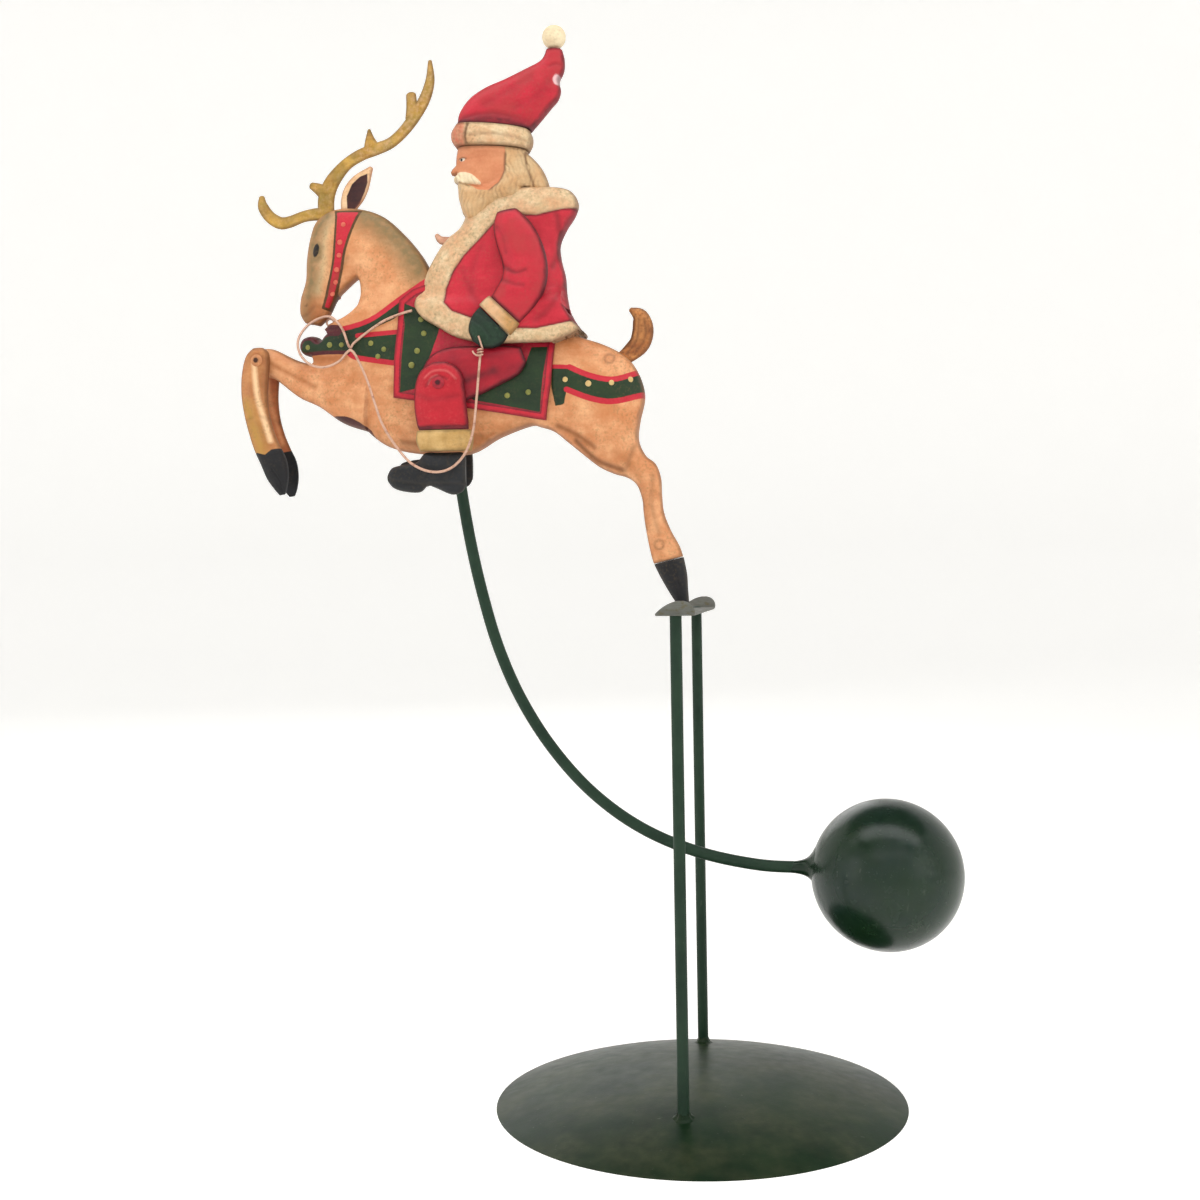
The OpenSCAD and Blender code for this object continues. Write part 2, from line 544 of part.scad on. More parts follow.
module head_near() color(skin) figure() half_shell(head_ribs, head_depth);
module head_far() color(skin) figure() far() half_shell(head_ribs, head_depth);
module hat_band_near() color(fur_cream) figure() half_shell(band_ribs, head_depth);
module hat_band_far() color(fur_cream) figure() far() half_shell(band_ribs, head_depth);
module hat_near() color(coat_red) figure() half_shell(hat_ribs, head_depth);
module hat_far() color(coat_red) figure() far() half_shell(hat_ribs, head_depth);
hat_tip = hat_ribs[len(hat_ribs) - 1];
module pompom() color(fur_cream) figure()
    translate([(hat_tip[0] + hat_tip[2]) / 2, 0, hat_tip[1] + seat_gap + pompom_d / 2])
        sphere(d = pompom_d, $fn = small_fn);

module sleeve() difference() {
    out(sleeve_w) half_shell(sleeve_ribs, arm_depth);
    half_form(coat_ribs, coat_depth, seat_gap, 1);
    out(skirt_w) half_form(skirt_ribs, layer_t, seat_gap, 20);
}
module near_arm() color(coat_red) figure() sleeve();
module far_arm() color(coat_red) figure() far() sleeve();
module near_cuff() color(fur_cream) figure() out(cuff_w) half_form(cuff_ribs, layer_t);
module far_cuff() color(fur_cream) figure() far() out(cuff_w) half_form(cuff_ribs, layer_t);
module near_mitten() color(cloth_green) figure() out(cuff_w) half_form(mitten_ribs, layer_t);
module far_mitten() color(cloth_green) figure() far() out(cuff_w) half_form(mitten_ribs, layer_t);

// Moves a piece of the rider's leg along X and Z
module shifted(s) translate([s.x, 0, s.y]) children();
module thigh(shift) difference() {
    shifted(shift) out(thigh_w) half_shell(thigh_ribs, thigh_t);
    shifted(shift) bar(rider_knee, rivet_d + 0.1, 0, shin_w + layer_t);
    out(skirt_w) half_form(skirt_ribs, layer_t, seat_gap, 20);
}
module near_thigh() color(coat_red) figure() thigh([0, 0]);
module far_thigh() color(coat_red) figure() far() thigh(far_leg_shift);

module arm_line(w) rotate([0, 180 + arm_slope, 0]) cylinder(h = 60, d = w, center = true, $fn = fine_fn);
module arm_block() color(steel) figure() difference() {
    translate([arm_top.x, 0, arm_top.y]) rotate([90, 0, 0])
        cylinder(h = block_l, d = block_d, center = true, $fn = fine_fn);
    translate([arm_top.x, 0, arm_top.y]) arm_line(arm_d + 2 * seat_gap);
}
module counterweight_arm() color(dark_green) figure()
    tube([for (p = smooth(arm_route, arm_steps)) [p.x, 0, p.y]], arm_d, arm_sides);

module ball_frame() figure() translate([ball_x, 0, -ball_drop]) children();
module ball_half(hole_z) difference() {
    sphere(d = ball_d, $fn = fine_fn);
    sphere(d = ball_d - 2 * ball_wall, $fn = fine_fn);
    translate([-ball_d, -ball_d, -2 * ball_d]) cube(2 * ball_d);
    translate([-ball_d, 0, hole_z]) rotate([0, 90, 0])
        cylinder(h = ball_d, d = arm_d + 1.6, $fn = fine_fn);
}
module ball_upper_shell() color(dark_green) ball_frame() ball_half(arm_rise);
module ball_lower_shell() color(dark_green) ball_frame() mirror([0, 0, 1]) ball_half(-arm_rise);
module ballast_core() color(steel) ball_frame() difference() {
    sphere(ballast_r, $fn = fine_fn);
    translate([-ball_d, -ball_d, ballast_top]) cube(2 * ball_d);
}
module ball_collar() color(dark_green) ball_frame() difference() {
    translate([-ball_d / 2 - collar_l, 0, arm_rise]) rotate([0, 90, 0])
        cylinder(h = 2 * collar_l, d1 = arm_d + 2, d2 = arm_d + 6, $fn = fine_fn);
    translate([-ball_d, 0, arm_rise]) rotate([0, 90, 0])
        cylinder(h = ball_d, d = arm_d + 0.4, $fn = fine_fn);
    sphere(d = ball_d + 0.1, $fn = round_fn);
}

module rein_wire() color(wire_copper) figure()
    tube([for (p = smooth(rein_route, rein_steps)) [p.x, -p.z, p.y]], rein_d, rein_sides);
module bit_ring() color(wire_copper) figure() translate([ring_place.x, 0, ring_place.y])
    rotate([90, 0, 0]) rotate_extrude($fn = small_fn) translate([ring_r, 0])
        circle(d = ring_d, $fn = small_fn);

module deer_knee_rivet() color(steel) figure() {
    w = foreleg_w + layer_t + seat_gap;
    bar(deer_knee, rivet_d, -w, w);
    rivet_head(deer_knee, w);
    far() rivet_head(deer_knee, w);
}
module rider_rivet() {
    w = shin_w + layer_t + seat_gap;
    bar(rider_knee, rivet_d, thigh_w + 0.5, w);
    rivet_head(rider_knee, w);
}
module near_knee_rivet() color(steel) figure() rider_rivet();
module far_knee_rivet() color(steel) figure() far_leg() rider_rivet();
module far_leg() far() shifted(far_leg_shift) children();

module foreleg() difference() {
    out(foreleg_w) half_form(foreleg_ribs, layer_t);
    bar(deer_knee, rivet_d + 2 * swing_gap, 0, 3 * deer_depth);
}
module near_foreleg() color(hide) figure() foreleg();
module far_foreleg() color(hide) figure() far() foreleg();

module shin() difference() {
    out(shin_w) half_form(shin_ribs, layer_t);
    difference() {
        out(shin_w) half_form(shin_ribs, layer_t, -rider_sheet, 1);
        bar(rider_knee, rivet_head_d, 0, 3 * deer_depth);
    }
    bar(rider_knee, rivet_d + 2 * swing_gap, 0, 3 * deer_depth);
}
module near_shin() color(coat_red) figure() shin();
module far_shin() color(coat_red) figure() far_leg() shin();
module near_boot_cuff() color(fur_cream) figure() out(shin_w) half_shell(boot_cuff_ribs, layer_t);
module far_boot_cuff() color(fur_cream) figure() far_leg() out(shin_w) half_shell(boot_cuff_ribs, layer_t);
module near_boot() color(hoof_black) figure() out(shin_w) half_shell(boot_ribs, layer_t);
module far_boot() color(hoof_black) figure() far_leg() out(shin_w) half_shell(boot_ribs, layer_t);

base_dome();
front_upright();
rear_upright();
upright_welds();
pivot_plate();
pivot_bead();
deer_near_shell();
deer_far_shell();
hind_hoof();
antler();
ear();
tail();
saddle_cloth_near();
saddle_cloth_far();
coat_near();
coat_far();
beard_curl();
head_near();
head_far();
hat_band_near();
hat_band_far();
hat_near();
hat_far();
pompom();
near_arm();
far_arm();
near_cuff();
far_cuff();
near_mitten();
far_mitten();
near_thigh();
far_thigh();
arm_block();
counterweight_arm();
ball_upper_shell();
ball_lower_shell();
ballast_core();
ball_collar();
rein_wire();
bit_ring();
deer_knee_rivet();
near_knee_rivet();
far_knee_rivet();
near_foreleg();
far_foreleg();
near_shin();
far_shin();
near_boot_cuff();
far_boot_cuff();
near_boot();
far_boot();
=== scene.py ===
# %% [markdown]
# # A balancing ornament in painted tin
# A rider on a leaping deer stands by one hoof on a small plate. A curved arm with a heavy ball
# hangs below and keeps the figure upright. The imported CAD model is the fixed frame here: this
# lesson dresses it with pressed tin shapes, old paint and studio light.

# %% Load the frame
import math

import bmesh
import bpy
import numpy as np
from mathutils import Matrix, Vector
from mathutils.geometry import delaunay_2d_cdt


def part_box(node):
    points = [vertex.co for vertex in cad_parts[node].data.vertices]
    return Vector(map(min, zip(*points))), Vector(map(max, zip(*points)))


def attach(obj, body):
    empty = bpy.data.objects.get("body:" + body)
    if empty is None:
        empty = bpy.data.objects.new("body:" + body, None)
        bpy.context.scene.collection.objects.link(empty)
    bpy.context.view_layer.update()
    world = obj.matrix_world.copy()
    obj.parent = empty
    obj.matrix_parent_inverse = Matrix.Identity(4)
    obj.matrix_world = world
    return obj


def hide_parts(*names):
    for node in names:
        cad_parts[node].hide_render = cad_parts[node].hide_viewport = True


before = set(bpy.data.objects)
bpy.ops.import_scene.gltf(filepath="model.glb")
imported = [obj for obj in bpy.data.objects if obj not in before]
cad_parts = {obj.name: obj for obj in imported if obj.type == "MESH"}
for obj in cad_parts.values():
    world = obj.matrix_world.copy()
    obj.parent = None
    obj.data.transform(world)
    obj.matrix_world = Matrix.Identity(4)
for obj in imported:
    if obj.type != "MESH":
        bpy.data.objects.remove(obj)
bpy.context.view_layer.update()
low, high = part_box("pivot_bead")
PIVOT = np.array((low + high) / 2)
print("pivot at", PIVOT.round(4), "and", len(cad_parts), "CAD pieces")

# %% [markdown]
# ## The figure's own frame
# The deer and its rider are flat pressed shapes that stand in one plane, so it is easiest to draw
# them in millimetres from the pivot: x runs towards the ball, z runs up, and the depth is how far
# a surface lies from the seam between the near and the far half.

# %% From the figure's frame to metres
def placed(points):
    """Points (x, depth towards the far side, z) in millimetres from the pivot, in metres."""
    return np.asarray(points, float) / 1000 + PIVOT


def smooth(points, steps):
    """A Catmull-Rom curve through rows of numbers, with so many steps from row to row."""
    rows = np.array(points, float)
    q = np.vstack([rows[:1], rows, rows[-1:]])
    t = np.linspace(0, 1, steps, endpoint=False)[:, None]
    parts = [
        0.5 * (2 * b + (c - a) * t + (2 * a - 5 * b + 4 * c - d) * t**2 + (3 * b - a - 3 * c + d) * t**3)
        for a, b, c, d in zip(q, q[1:], q[2:], q[3:])
    ]
    return np.vstack(parts + [rows[-1:]])


# %% Distances in the drawing
def line_distance(P, line, closed=False):
    """Distance of each point to a line of straight stretches."""
    line = np.asarray(line, float)
    ends = np.roll(line, -1, axis=0) if closed else line[1:]
    best = np.full(len(P), np.inf)
    for a, b in zip(line, ends):
        d = b - a
        t = np.clip(((P - a) @ d) / max(d @ d, 1e-12), 0, 1)
        best = np.minimum(best, np.sum((P - a - t[:, None] * d) ** 2, axis=1))
    return np.sqrt(best)


def depth_in(P, outline):
    """How far each point lies inside a closed outline. Outside, it is negative."""
    outline = np.asarray(outline, float)
    inside = np.zeros(len(P), bool)
    for a, b in zip(outline, np.roll(outline, -1, axis=0)):
        if a[1] != b[1]:
            crosses = (a[1] > P[:, 1]) != (b[1] > P[:, 1])
            x = a[0] + (P[:, 1] - a[1]) * (b[0] - a[0]) / (b[1] - a[1])
            inside ^= crosses & (P[:, 0] < x)
    d = line_distance(P, outline, closed=True)
    return np.where(inside, d, -d)


def within(P, outlines):
    """How far each point lies inside a shape made of several outlines."""
    return np.max([depth_in(P, o) for o in outlines], axis=0)


def spot(P, x, z, radius, squash=1.0, turn=0.0):
    """How far each point lies inside an oval spot."""
    a = math.radians(turn)
    dx, dz = P[:, 0] - x, P[:, 1] - z
    u, v = dx * math.cos(a) + dz * math.sin(a), -dx * math.sin(a) + dz * math.cos(a)
    return radius - np.hypot(u, v / squash)


def soft_line(P, line, width):
    """1 on a line of straight stretches, and almost 0 at twice its width."""
    return np.exp(-((line_distance(P, line) / width) ** 2))


def near_line(P, line, reach):
    """1 on a smooth line, falling evenly to 0 at its reach."""
    return np.clip(1 - line_distance(P, smooth(line, 3)) / reach, 0, 1)


# %% [markdown]
# ## A pressed shape from ribs
# The CAD model draws each pressed shape with ribs. A rib is a line across the shape, given by
# its upper end, its lower end and its share of the full depth. The same ribs are used here, but
# much finer, so that the tin looks pressed from one smooth sheet and stays where the CAD has it.

# %% Ribs
CROWN = 0.36  # 0.5 makes each section an ellipse, 0 makes it a box
RIB_STEPS = 5
NEWTON_STEPS, SLACK, MISS = 9, 0.03, 0.02  # the search for a point's place between two ribs


def rib_outline(ribs):
    """The outline of a shape: along the upper ends, and back along the lower ends."""
    fine = smooth(ribs, RIB_STEPS)
    return np.vstack([fine[:, :2], fine[::-1, 2:4]])


def rib_height(P, ribs, depth):
    """Depth of the pressed surface over each point, and 0 where the shape doesn't reach."""
    fine = smooth(ribs, RIB_STEPS)
    height = np.zeros(len(P))
    for a, b in zip(fine, fine[1:]):
        corners = np.array([a[:2], a[2:4], b[:2], b[2:4]])
        near = np.all((P >= corners.min(0) - 0.1) & (P <= corners.max(0) + 0.1), axis=1)
        if not near.any():
            continue
        Q = P[near]
        ca, ha, cb, hb = (a[:2] + a[2:4]) / 2, (a[:2] - a[2:4]) / 2, (b[:2] + b[2:4]) / 2, (b[:2] - b[2:4]) / 2
        s, t = np.full(len(Q), 0.5), np.zeros(len(Q))
        for _ in range(NEWTON_STEPS):
            h = ha + s[:, None] * (hb - ha)
            off = ca + s[:, None] * (cb - ca) + t[:, None] * h - Q
            ds = (cb - ca) + t[:, None] * (hb - ha)
            det = ds[:, 0] * h[:, 1] - ds[:, 1] * h[:, 0]
            det = np.where(np.abs(det) < 1e-9, 1e-9, det)
            s = np.clip(s - (off[:, 0] * h[:, 1] - off[:, 1] * h[:, 0]) / det, -0.5, 1.5)
            t = np.clip(t - (ds[:, 0] * off[:, 1] - ds[:, 1] * off[:, 0]) / det, -1.5, 1.5)
        miss = np.linalg.norm(ca + s[:, None] * (cb - ca) + t[:, None] * (ha + s[:, None] * (hb - ha)) - Q, axis=1)
        fits = (s > -SLACK) & (s < 1 + SLACK) & (np.abs(t) < 1 + MISS) & (miss < MISS)
        share = a[4] + np.clip(s, 0, 1) * (b[4] - a[4])
        rise = depth * share * np.clip(1 - t**2, 0, 1) ** CROWN
        height[near] = np.maximum(height[near], np.where(fits, rise, 0))
    return height


def soft_max(a, b, blend):
    """The larger of two heights, with a rounded corner between them."""
    mix = np.clip(0.5 + 0.5 * (b - a) / blend, 0, 1)
    return a + (b - a) * mix + blend * mix * (1 - mix)


def creases(P, marks):
    """Pressed lines: each mark is a line, its rise (negative for a groove) and its width."""
    total = np.zeros(len(P))
    for line, rise, width in marks:
        total += rise * soft_line(P, smooth(line, 4), width)
    return total


def plateau(P, outlines, rise, reach):
    """A flat-topped swelling inside outlines, rounded over so many millimetres."""
    return rise * np.sqrt(1 - (1 - np.clip(within(P, outlines) / reach, 0, 1)) ** 2)


# %% [markdown]
# ## Layers of paint
# Where a colour lies is a number at each point of the drawing: how far inside an outline, how
# near a line or how deep in a groove. These functions make such layers, and a piece's paint reads
# them by name.

# %% Functions that make layers
def level(value):
    return lambda P: np.full(len(P), float(value))


def inside_of(*outlines):
    return lambda P: within(P, outlines)


def beside(line, reach, strength=1.0):
    return lambda P: strength * near_line(P, line, reach)


def in_grooves(marks, strength=1.0):
    return lambda P: np.clip(-creases(P, marks) * strength, 0, 1)


def near_edge(outline, strength, reach=1.6):
    return lambda P: strength * np.clip(1 - depth_in(P, outline) / reach, 0, 1)


def set_layers(mesh, material, layers):
    """Give a mesh the layers that its paint reads. One that isn't given is 0 everywhere."""
    for node in material.node_tree.nodes:
        if node.type == "ATTRIBUTE" and node.attribute_name not in mesh.attributes:
            values = np.full(len(mesh.vertices), layers.get(node.attribute_name, 0.0), np.float32)
            mesh.attributes.new(node.attribute_name, "FLOAT", "POINT").data.foreach_set("value", values)


# %% [markdown]
# ## From a drawing to a mesh
# The outline is filled with triangles by a constrained Delaunay triangulation. Rows of points
# close to the outline catch the steep rim of the pressing, and a grid of points fills the rest.
# Each point is then lifted off the seam plane by its height.

# %% Fill an outline with triangles
RIM_ROWS = (0.1, 0.3, 0.65, 1.1)


def evenly(outline, spacing):
    """The outline again, with points at most so far apart."""
    points = []
    for a, b in zip(outline, np.roll(outline, -1, axis=0)):
        n = max(1, int(np.ceil(np.linalg.norm(b - a) / spacing)))
        points += [a + (b - a) * k / n for k in range(n)]
    points = np.array(points)
    apart = np.linalg.norm(points - np.roll(points, 1, axis=0), axis=1) > 0.05
    return points[apart]


def sides_of(triangles):
    """The three sides of each triangle, as pairs of points."""
    return np.vstack([triangles[:, [0, 1]], triangles[:, [1, 2]], triangles[:, [2, 0]]])


def fill(outlines, spacing):
    """Points, triangles and the sides along the rim of a shape made of several outlines."""
    points, edges = [], []
    for outline in outlines:
        o = evenly(np.asarray(outline, float), spacing)
        if np.sum(o[:, 0] * np.roll(o[:, 1], -1) - o[:, 1] * np.roll(o[:, 0], -1)) < 0:
            o = o[::-1]
        start = len(points)
        points += list(o)
        edges += [(start + i, start + (i + 1) % len(o)) for i in range(len(o))]
        along = np.roll(o, -1, axis=0) - np.roll(o, 1, axis=0)
        inward = np.stack([-along[:, 1], along[:, 0]], axis=1)
        inward /= np.linalg.norm(inward, axis=1)[:, None]
        for row in RIM_ROWS:
            ring = o + inward * row
            d = within(ring, outlines)
            points += list(ring[(d > 0.8 * row) & (d < 1.2 * row)])
    corners = np.vstack(outlines)
    (x0, z0), (x1, z1) = corners.min(0), corners.max(0)
    rows = np.arange(z0, z1, spacing * math.sqrt(3) / 2)
    grid = np.array([(x + (k % 2) * spacing / 2, z) for k, z in enumerate(rows) for x in np.arange(x0, x1, spacing)])
    points += list(grid[within(grid, outlines) > RIM_ROWS[-1] + 0.4 * spacing])
    found = delaunay_2d_cdt([Vector(p) for p in points], edges, [], 0, 1e-5)
    P, T = np.array(found[0], float), np.array(found[2])
    T = T[within(P[T].mean(axis=1), outlines) > 0]
    used, T = np.unique(T, return_inverse=True)
    P, T = P[used], T.reshape(-1, 3)
    a, b, c = P[T[:, 0]], P[T[:, 1]], P[T[:, 2]]
    flipped = (b[:, 0] - a[:, 0]) * (c[:, 1] - a[:, 1]) < (b[:, 1] - a[:, 1]) * (c[:, 0] - a[:, 0])
    T[flipped] = T[flipped][:, ::-1]
    lone, count = np.unique(np.sort(sides_of(T), axis=1), axis=0, return_counts=True)
    return P, T, lone[count == 1]


# %% Make an object from points and triangles
def put(name, data):
    """A new object in the scene."""
    made = bpy.data.objects.new(name, data)
    bpy.context.scene.collection.objects.link(made)
    return made


def solid(name, points, triangles, body, nodes, material, layers=None, sharp=None):
    """A piece of the ornament: its points are in millimetres from the pivot."""
    mesh = bpy.data.meshes.new(name)
    mesh.from_pydata(placed(points).tolist(), [], triangles.tolist())
    mesh.update()
    mesh.shade_smooth()
    mesh.materials.append(material)
    set_layers(mesh, material, layers or {})
    if sharp is not None:
        ends = np.zeros(len(mesh.edges) * 2, int)
        mesh.edges.foreach_get("vertices", ends)
        edge = mesh.attributes.new("sharp_edge", "BOOLEAN", "EDGE")
        edge.data.foreach_set("value", sharp[ends.reshape(-1, 2)].all(axis=1))
    piece = put(name, mesh)
    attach(piece, body)
    if nodes:
        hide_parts(*nodes)
    print(f"{name}: {len(triangles)} triangles on {body}")
    return piece


# %% A pressed piece
def mended(heights, base, triangles, inside, rim):
    """Fill the few points that no rib reached from their neighbours."""
    missed = (heights - base < 0.25) & (inside > 0.06) & ~rim
    pairs = sides_of(triangles)
    pairs = np.vstack([pairs, pairs[:, ::-1]])
    known = ~missed
    while missed.any():
        use = pairs[missed[pairs[:, 0]] & known[pairs[:, 1]]]
        total, count = np.zeros(len(heights)), np.zeros(len(heights))
        np.add.at(total, use[:, 0], heights[use[:, 1]])
        np.add.at(count, use[:, 0], 1)
        reached = missed & (count > 0)
        if not reached.any():
            break
        heights[reached] = total[reached] / count[reached]
        known |= reached
        missed &= ~reached
    return heights


def pressed(name, outlines, front, slot, nodes, material, paint=None, back=None, body="figure", spacing=0.6,
        far=False, shift=(0, 0)):
    """A closed piece between two heights over an outline. back=None mirrors the front at the seam.

    front, back and the values of paint are functions of the points of the drawing."""
    P, T, edge = fill(outlines, spacing)
    n, inside = len(P), within(P, outlines)
    rim = np.zeros(n, bool)
    rim[edge.ravel()] = True
    base = back(P) if back else np.zeros(n)
    h = mended(front(P), base, T, inside, rim)
    b = base if back else -h
    side = 1 if far else -1
    move = np.array([shift[0], 0, shift[1]])
    points = np.vstack([np.column_stack([P[:, 0], side * y, P[:, 1]]) + move for y in (h, b)])
    if np.abs(h[rim] - b[rim]).max() < 1e-6:
        index = np.arange(n) + n
        index[rim] = np.flatnonzero(rim)
        triangles = np.vstack([T, index[T][:, ::-1]])
    else:
        single, walls = {tuple(e) for e in edge}, []
        for t in T:
            for i, j in ((t[0], t[1]), (t[1], t[2]), (t[2], t[0])):
                if (min(i, j), max(i, j)) in single:
                    walls += [(j, i, n + i), (n + i, n + j, j)]
        triangles = np.vstack([T, (T + n)[:, ::-1], walls])
    used, flat = np.unique(triangles, return_inverse=True)
    triangles = flat.reshape(-1, 3)[:, ::side * -1]
    layers = {"rim": inside} | {k: f(P) for k, f in (paint or {}).items()}
    both = {k: np.concatenate([v, v])[used] for k, v in layers.items()}
    return solid(name, points[used], triangles, body, nodes, material, both, np.concatenate([rim, rim])[used])


# %% [markdown]
# ## Materials as sums
# Paint on old tin is never one flat colour: it varies and has specks, and here the creases and the
# rim are darkened with a brown that is partly antique glaze and partly painted shade. Such rules are
# easier to read as sums than as a picture of nodes, so a socket is wrapped in a small class whose
# operators add Math nodes.

# %% A socket that can be added and multiplied
class Value:
    def __init__(self, tree, socket):
        self.tree, self.socket = tree, socket

    def math(self, operation, *inputs, clamp=False):
        return self.tree.node("ShaderNodeMath", {"operation": operation, "use_clamp": clamp}, dict(enumerate(inputs)))

    def __add__(self, other):
        return self.math("ADD", self, other)

    def __mul__(self, other):
        return self.math("MULTIPLY", self, other)

    def __sub__(self, other):
        return self.math("SUBTRACT", self, other)

    def __rsub__(self, other):
        return self.math("SUBTRACT", other, self)

    def __truediv__(self, other):
        return self.math("DIVIDE", self, other)

    __radd__, __rmul__ = __add__, __mul__

    def clamped(self):
        return self.math("ADD", self, 0.0, clamp=True)

    def over(self, level, soft):
        """0 below a level and 1 above it, with a soft step between them."""
        return ((self - level) / soft + 0.5).clamped()


# %% A tree of nodes with one method for every node
class Tree:
    def __init__(self, tree):
        self.nodes, self.links = tree.nodes, tree.links

    def feed(self, made, inputs):
        for key, value in inputs.items():
            if isinstance(value, Value):
                self.links.new(value.socket, made.inputs[key])
            else:
                made.inputs[key].default_value = value

    def node(self, kind, settings, inputs, output=0):
        made = self.nodes.new(kind)
        for key, value in settings.items():
            setattr(made, key, value)
        self.feed(made, inputs)
        return Value(self, made.outputs[output])


def srgb(colour):
    """A colour given as three numbers from 0 to 255, as the linear numbers of a shader."""
    if len(colour) == 4:  # linear already
        return colour
    shares = np.divide(colour, 255).tolist()
    return tuple(c / 12.92 if c <= 0.04045 else ((c + 0.055) / 1.055) ** 2.4 for c in shares) + (1,)


class Paint(Tree):
    def __init__(self, name):
        self.material = bpy.data.materials.new(name)
        self.material.use_nodes = True
        super().__init__(self.material.node_tree)
        self.shader = self.nodes["Principled BSDF"]
        self.place = self.node("ShaderNodeTexCoord", {}, {}, "Object")

    def noise(self, size_mm, detail=3.0, stretch=(1, 1, 1), offset=0.0):
        """Noise with features of about that size, from 0 to 1."""
        scale = tuple(1000 / size_mm / s for s in stretch)
        place = self.node("ShaderNodeMapping", {}, {"Vector": self.place, "Scale": scale, "Location": (offset,) * 3})
        return self.node("ShaderNodeTexNoise", {}, {"Vector": place, "Scale": 1.0, "Detail": detail})

    def layer(self, name):
        return self.node("ShaderNodeAttribute", {"attribute_name": name}, {}, "Fac")

    def mix(self, mask, *colours):
        a, b = (c if isinstance(c, Value) else srgb(c) for c in colours)
        return self.node("ShaderNodeMix", {"data_type": "RGBA"}, {0: mask, 6: a, 7: b}, 2)

    def finish(self, colour, roughness, relief, depth_mm, coat=0.0, coat_roughness=0.2, metallic=0.0, specular=0.5):
        bump = self.node("ShaderNodeBump", {}, {"Height": relief, "Distance": depth_mm / 1000, "Strength": 1.0})
        self.feed(self.shader, {"Base Color": colour, "Roughness": roughness, "Normal": bump, "Metallic": metallic,
            "Coat Weight": coat, "Coat Roughness": coat_roughness, "Specular IOR Level": specular})
        return self.material


# %% [markdown]
# ## Antiqued paint
# The tin is brushed with a ground colour, rubbed with a brown glaze and lightly speckled. The same
# colour darkens the creases and the rim, partly as antique glaze and partly as painted shade. One
# function makes this finish for every colour: areas painted in another colour come first, then
# the broad variation, the glaze and painted shade in the creases and at the rim, and the specks.

# %% Antiqued paint
GLAZE_AND_SHADE, SPECK = (104, 66, 36), (128, 104, 62)
RIM_WANDER = 1.3  # how far in millimetres the noise moves the inner edge of the darkened rim


def antiqued(name, ground, pale, areas=(), tints=(), warm=None, glaze_and_shade=GLAZE_AND_SHADE, rub_and_shade=0.5, specks=0.35, speck=SPECK,
        rough=0.5, speck_area=None):
    """areas is a list of (layer, colour, paler colour, level in mm), tints of (layer, colour, strength)."""
    p = Paint(name)
    broad = p.noise(9, 3)
    streak = p.noise(2.6, 4, stretch=(3.2, 1, 1), offset=3.1)
    fine = p.noise(0.8, 3, offset=7.7)
    vary = (broad * 0.9 + streak * 0.8 + fine * 0.45 - 1.05).over(0.0, 0.6)
    colour = p.mix(vary, ground, pale)
    if warm:
        colour = p.mix(p.noise(7, 5, offset=41.0).over(0.54, 0.3) * 0.7, colour, warm)
    for layer, tint, strength in tints:
        mask = (p.layer(layer) * strength * (0.45 + p.noise(2.4, 4, offset=51.0) * 1.1)).clamped()
        colour = p.mix(mask, colour, tint)
    dots = p.noise(1.0, 4, offset=23.0).over(0.62, 0.24) * p.noise(11, 3, offset=31.0).over(0.48, 0.24)
    aged = dots
    if speck_area:
        mottle = p.noise(1.5, 4, offset=17.0).over(0.52, 0.3) * p.layer(speck_area).clamped()
        aged = (dots + mottle * 0.8).clamped()
    colour = p.mix(aged * specks, colour, speck)
    for layer, deep, bright, start in areas:
        mask = (p.layer(layer) + fine * 0.3 - 0.15).over(start, 0.22)
        colour = p.mix(mask, colour, p.mix(vary, deep, bright))
    if areas:
        colour = p.mix(dots * specks * 0.3, colour, speck)
    worn = p.noise(3.2, 4, offset=11.0)
    # Painted shade: the glaze colour darkens the rim and the creases, partly as antique glaze and partly as shade.
    edge = 1 - (p.layer("rim") - worn * RIM_WANDER + RIM_WANDER * 0.2).over(0.25, 0.9)
    fold = (p.layer("fold") * (0.6 + worn * 0.8)).clamped()
    colour = p.mix((edge * 0.75 + fold).clamped() * rub_and_shade, colour, glaze_and_shade)
    roughness = rough + streak * 0.16 - 0.06 + edge * 0.1
    relief = streak * 0.5 + fine * 0.35 + broad * 0.6 - edge * 0.2
    return p.finish(colour, roughness, relief, 0.2, coat=0.1, coat_roughness=0.35, specular=0.3)


# %% Enamel, steel and wire
DUST = (96, 104, 92)


def enamel(name, deep, pale, rough=0.46, coat=0.06, blotch=None, specular=0.22):
    """Dark satin enamel with a soft mottle, dust specks and dull scuffs."""
    p = Paint(name)
    broad, mid, fine = p.noise(24, 4), p.noise(5, 4, offset=2.0), p.noise(0.7, 2, offset=5.0)
    colour = p.mix((broad * 1.3 + mid * 0.7 - 0.6).clamped(), deep, pale)
    if blotch:
        patches = p.noise(26, 5, offset=15.0).over(0.5, 0.2) * (p.noise(4, 4, offset=19.0) * 1.3)
        colour = p.mix(patches.clamped() * 0.6, colour, blotch)
    scuff = p.noise(1.6, 5, stretch=(1, 1, 4), offset=9.0).over(0.7, 0.07) * p.noise(18, 2, offset=1.0).over(0.5, 0.2)
    dust = p.noise(0.5, 2, offset=13.0).over(0.74, 0.06)
    colour = p.mix((scuff * 0.22 + dust * 0.25).clamped(), colour, DUST)
    relief = mid * 0.5 + fine * 0.25 - scuff * 0.15
    return p.finish(colour, rough + mid * 0.2 + dust * 0.2 - 0.05, relief, 0.08, coat, 0.4, specular=specular)


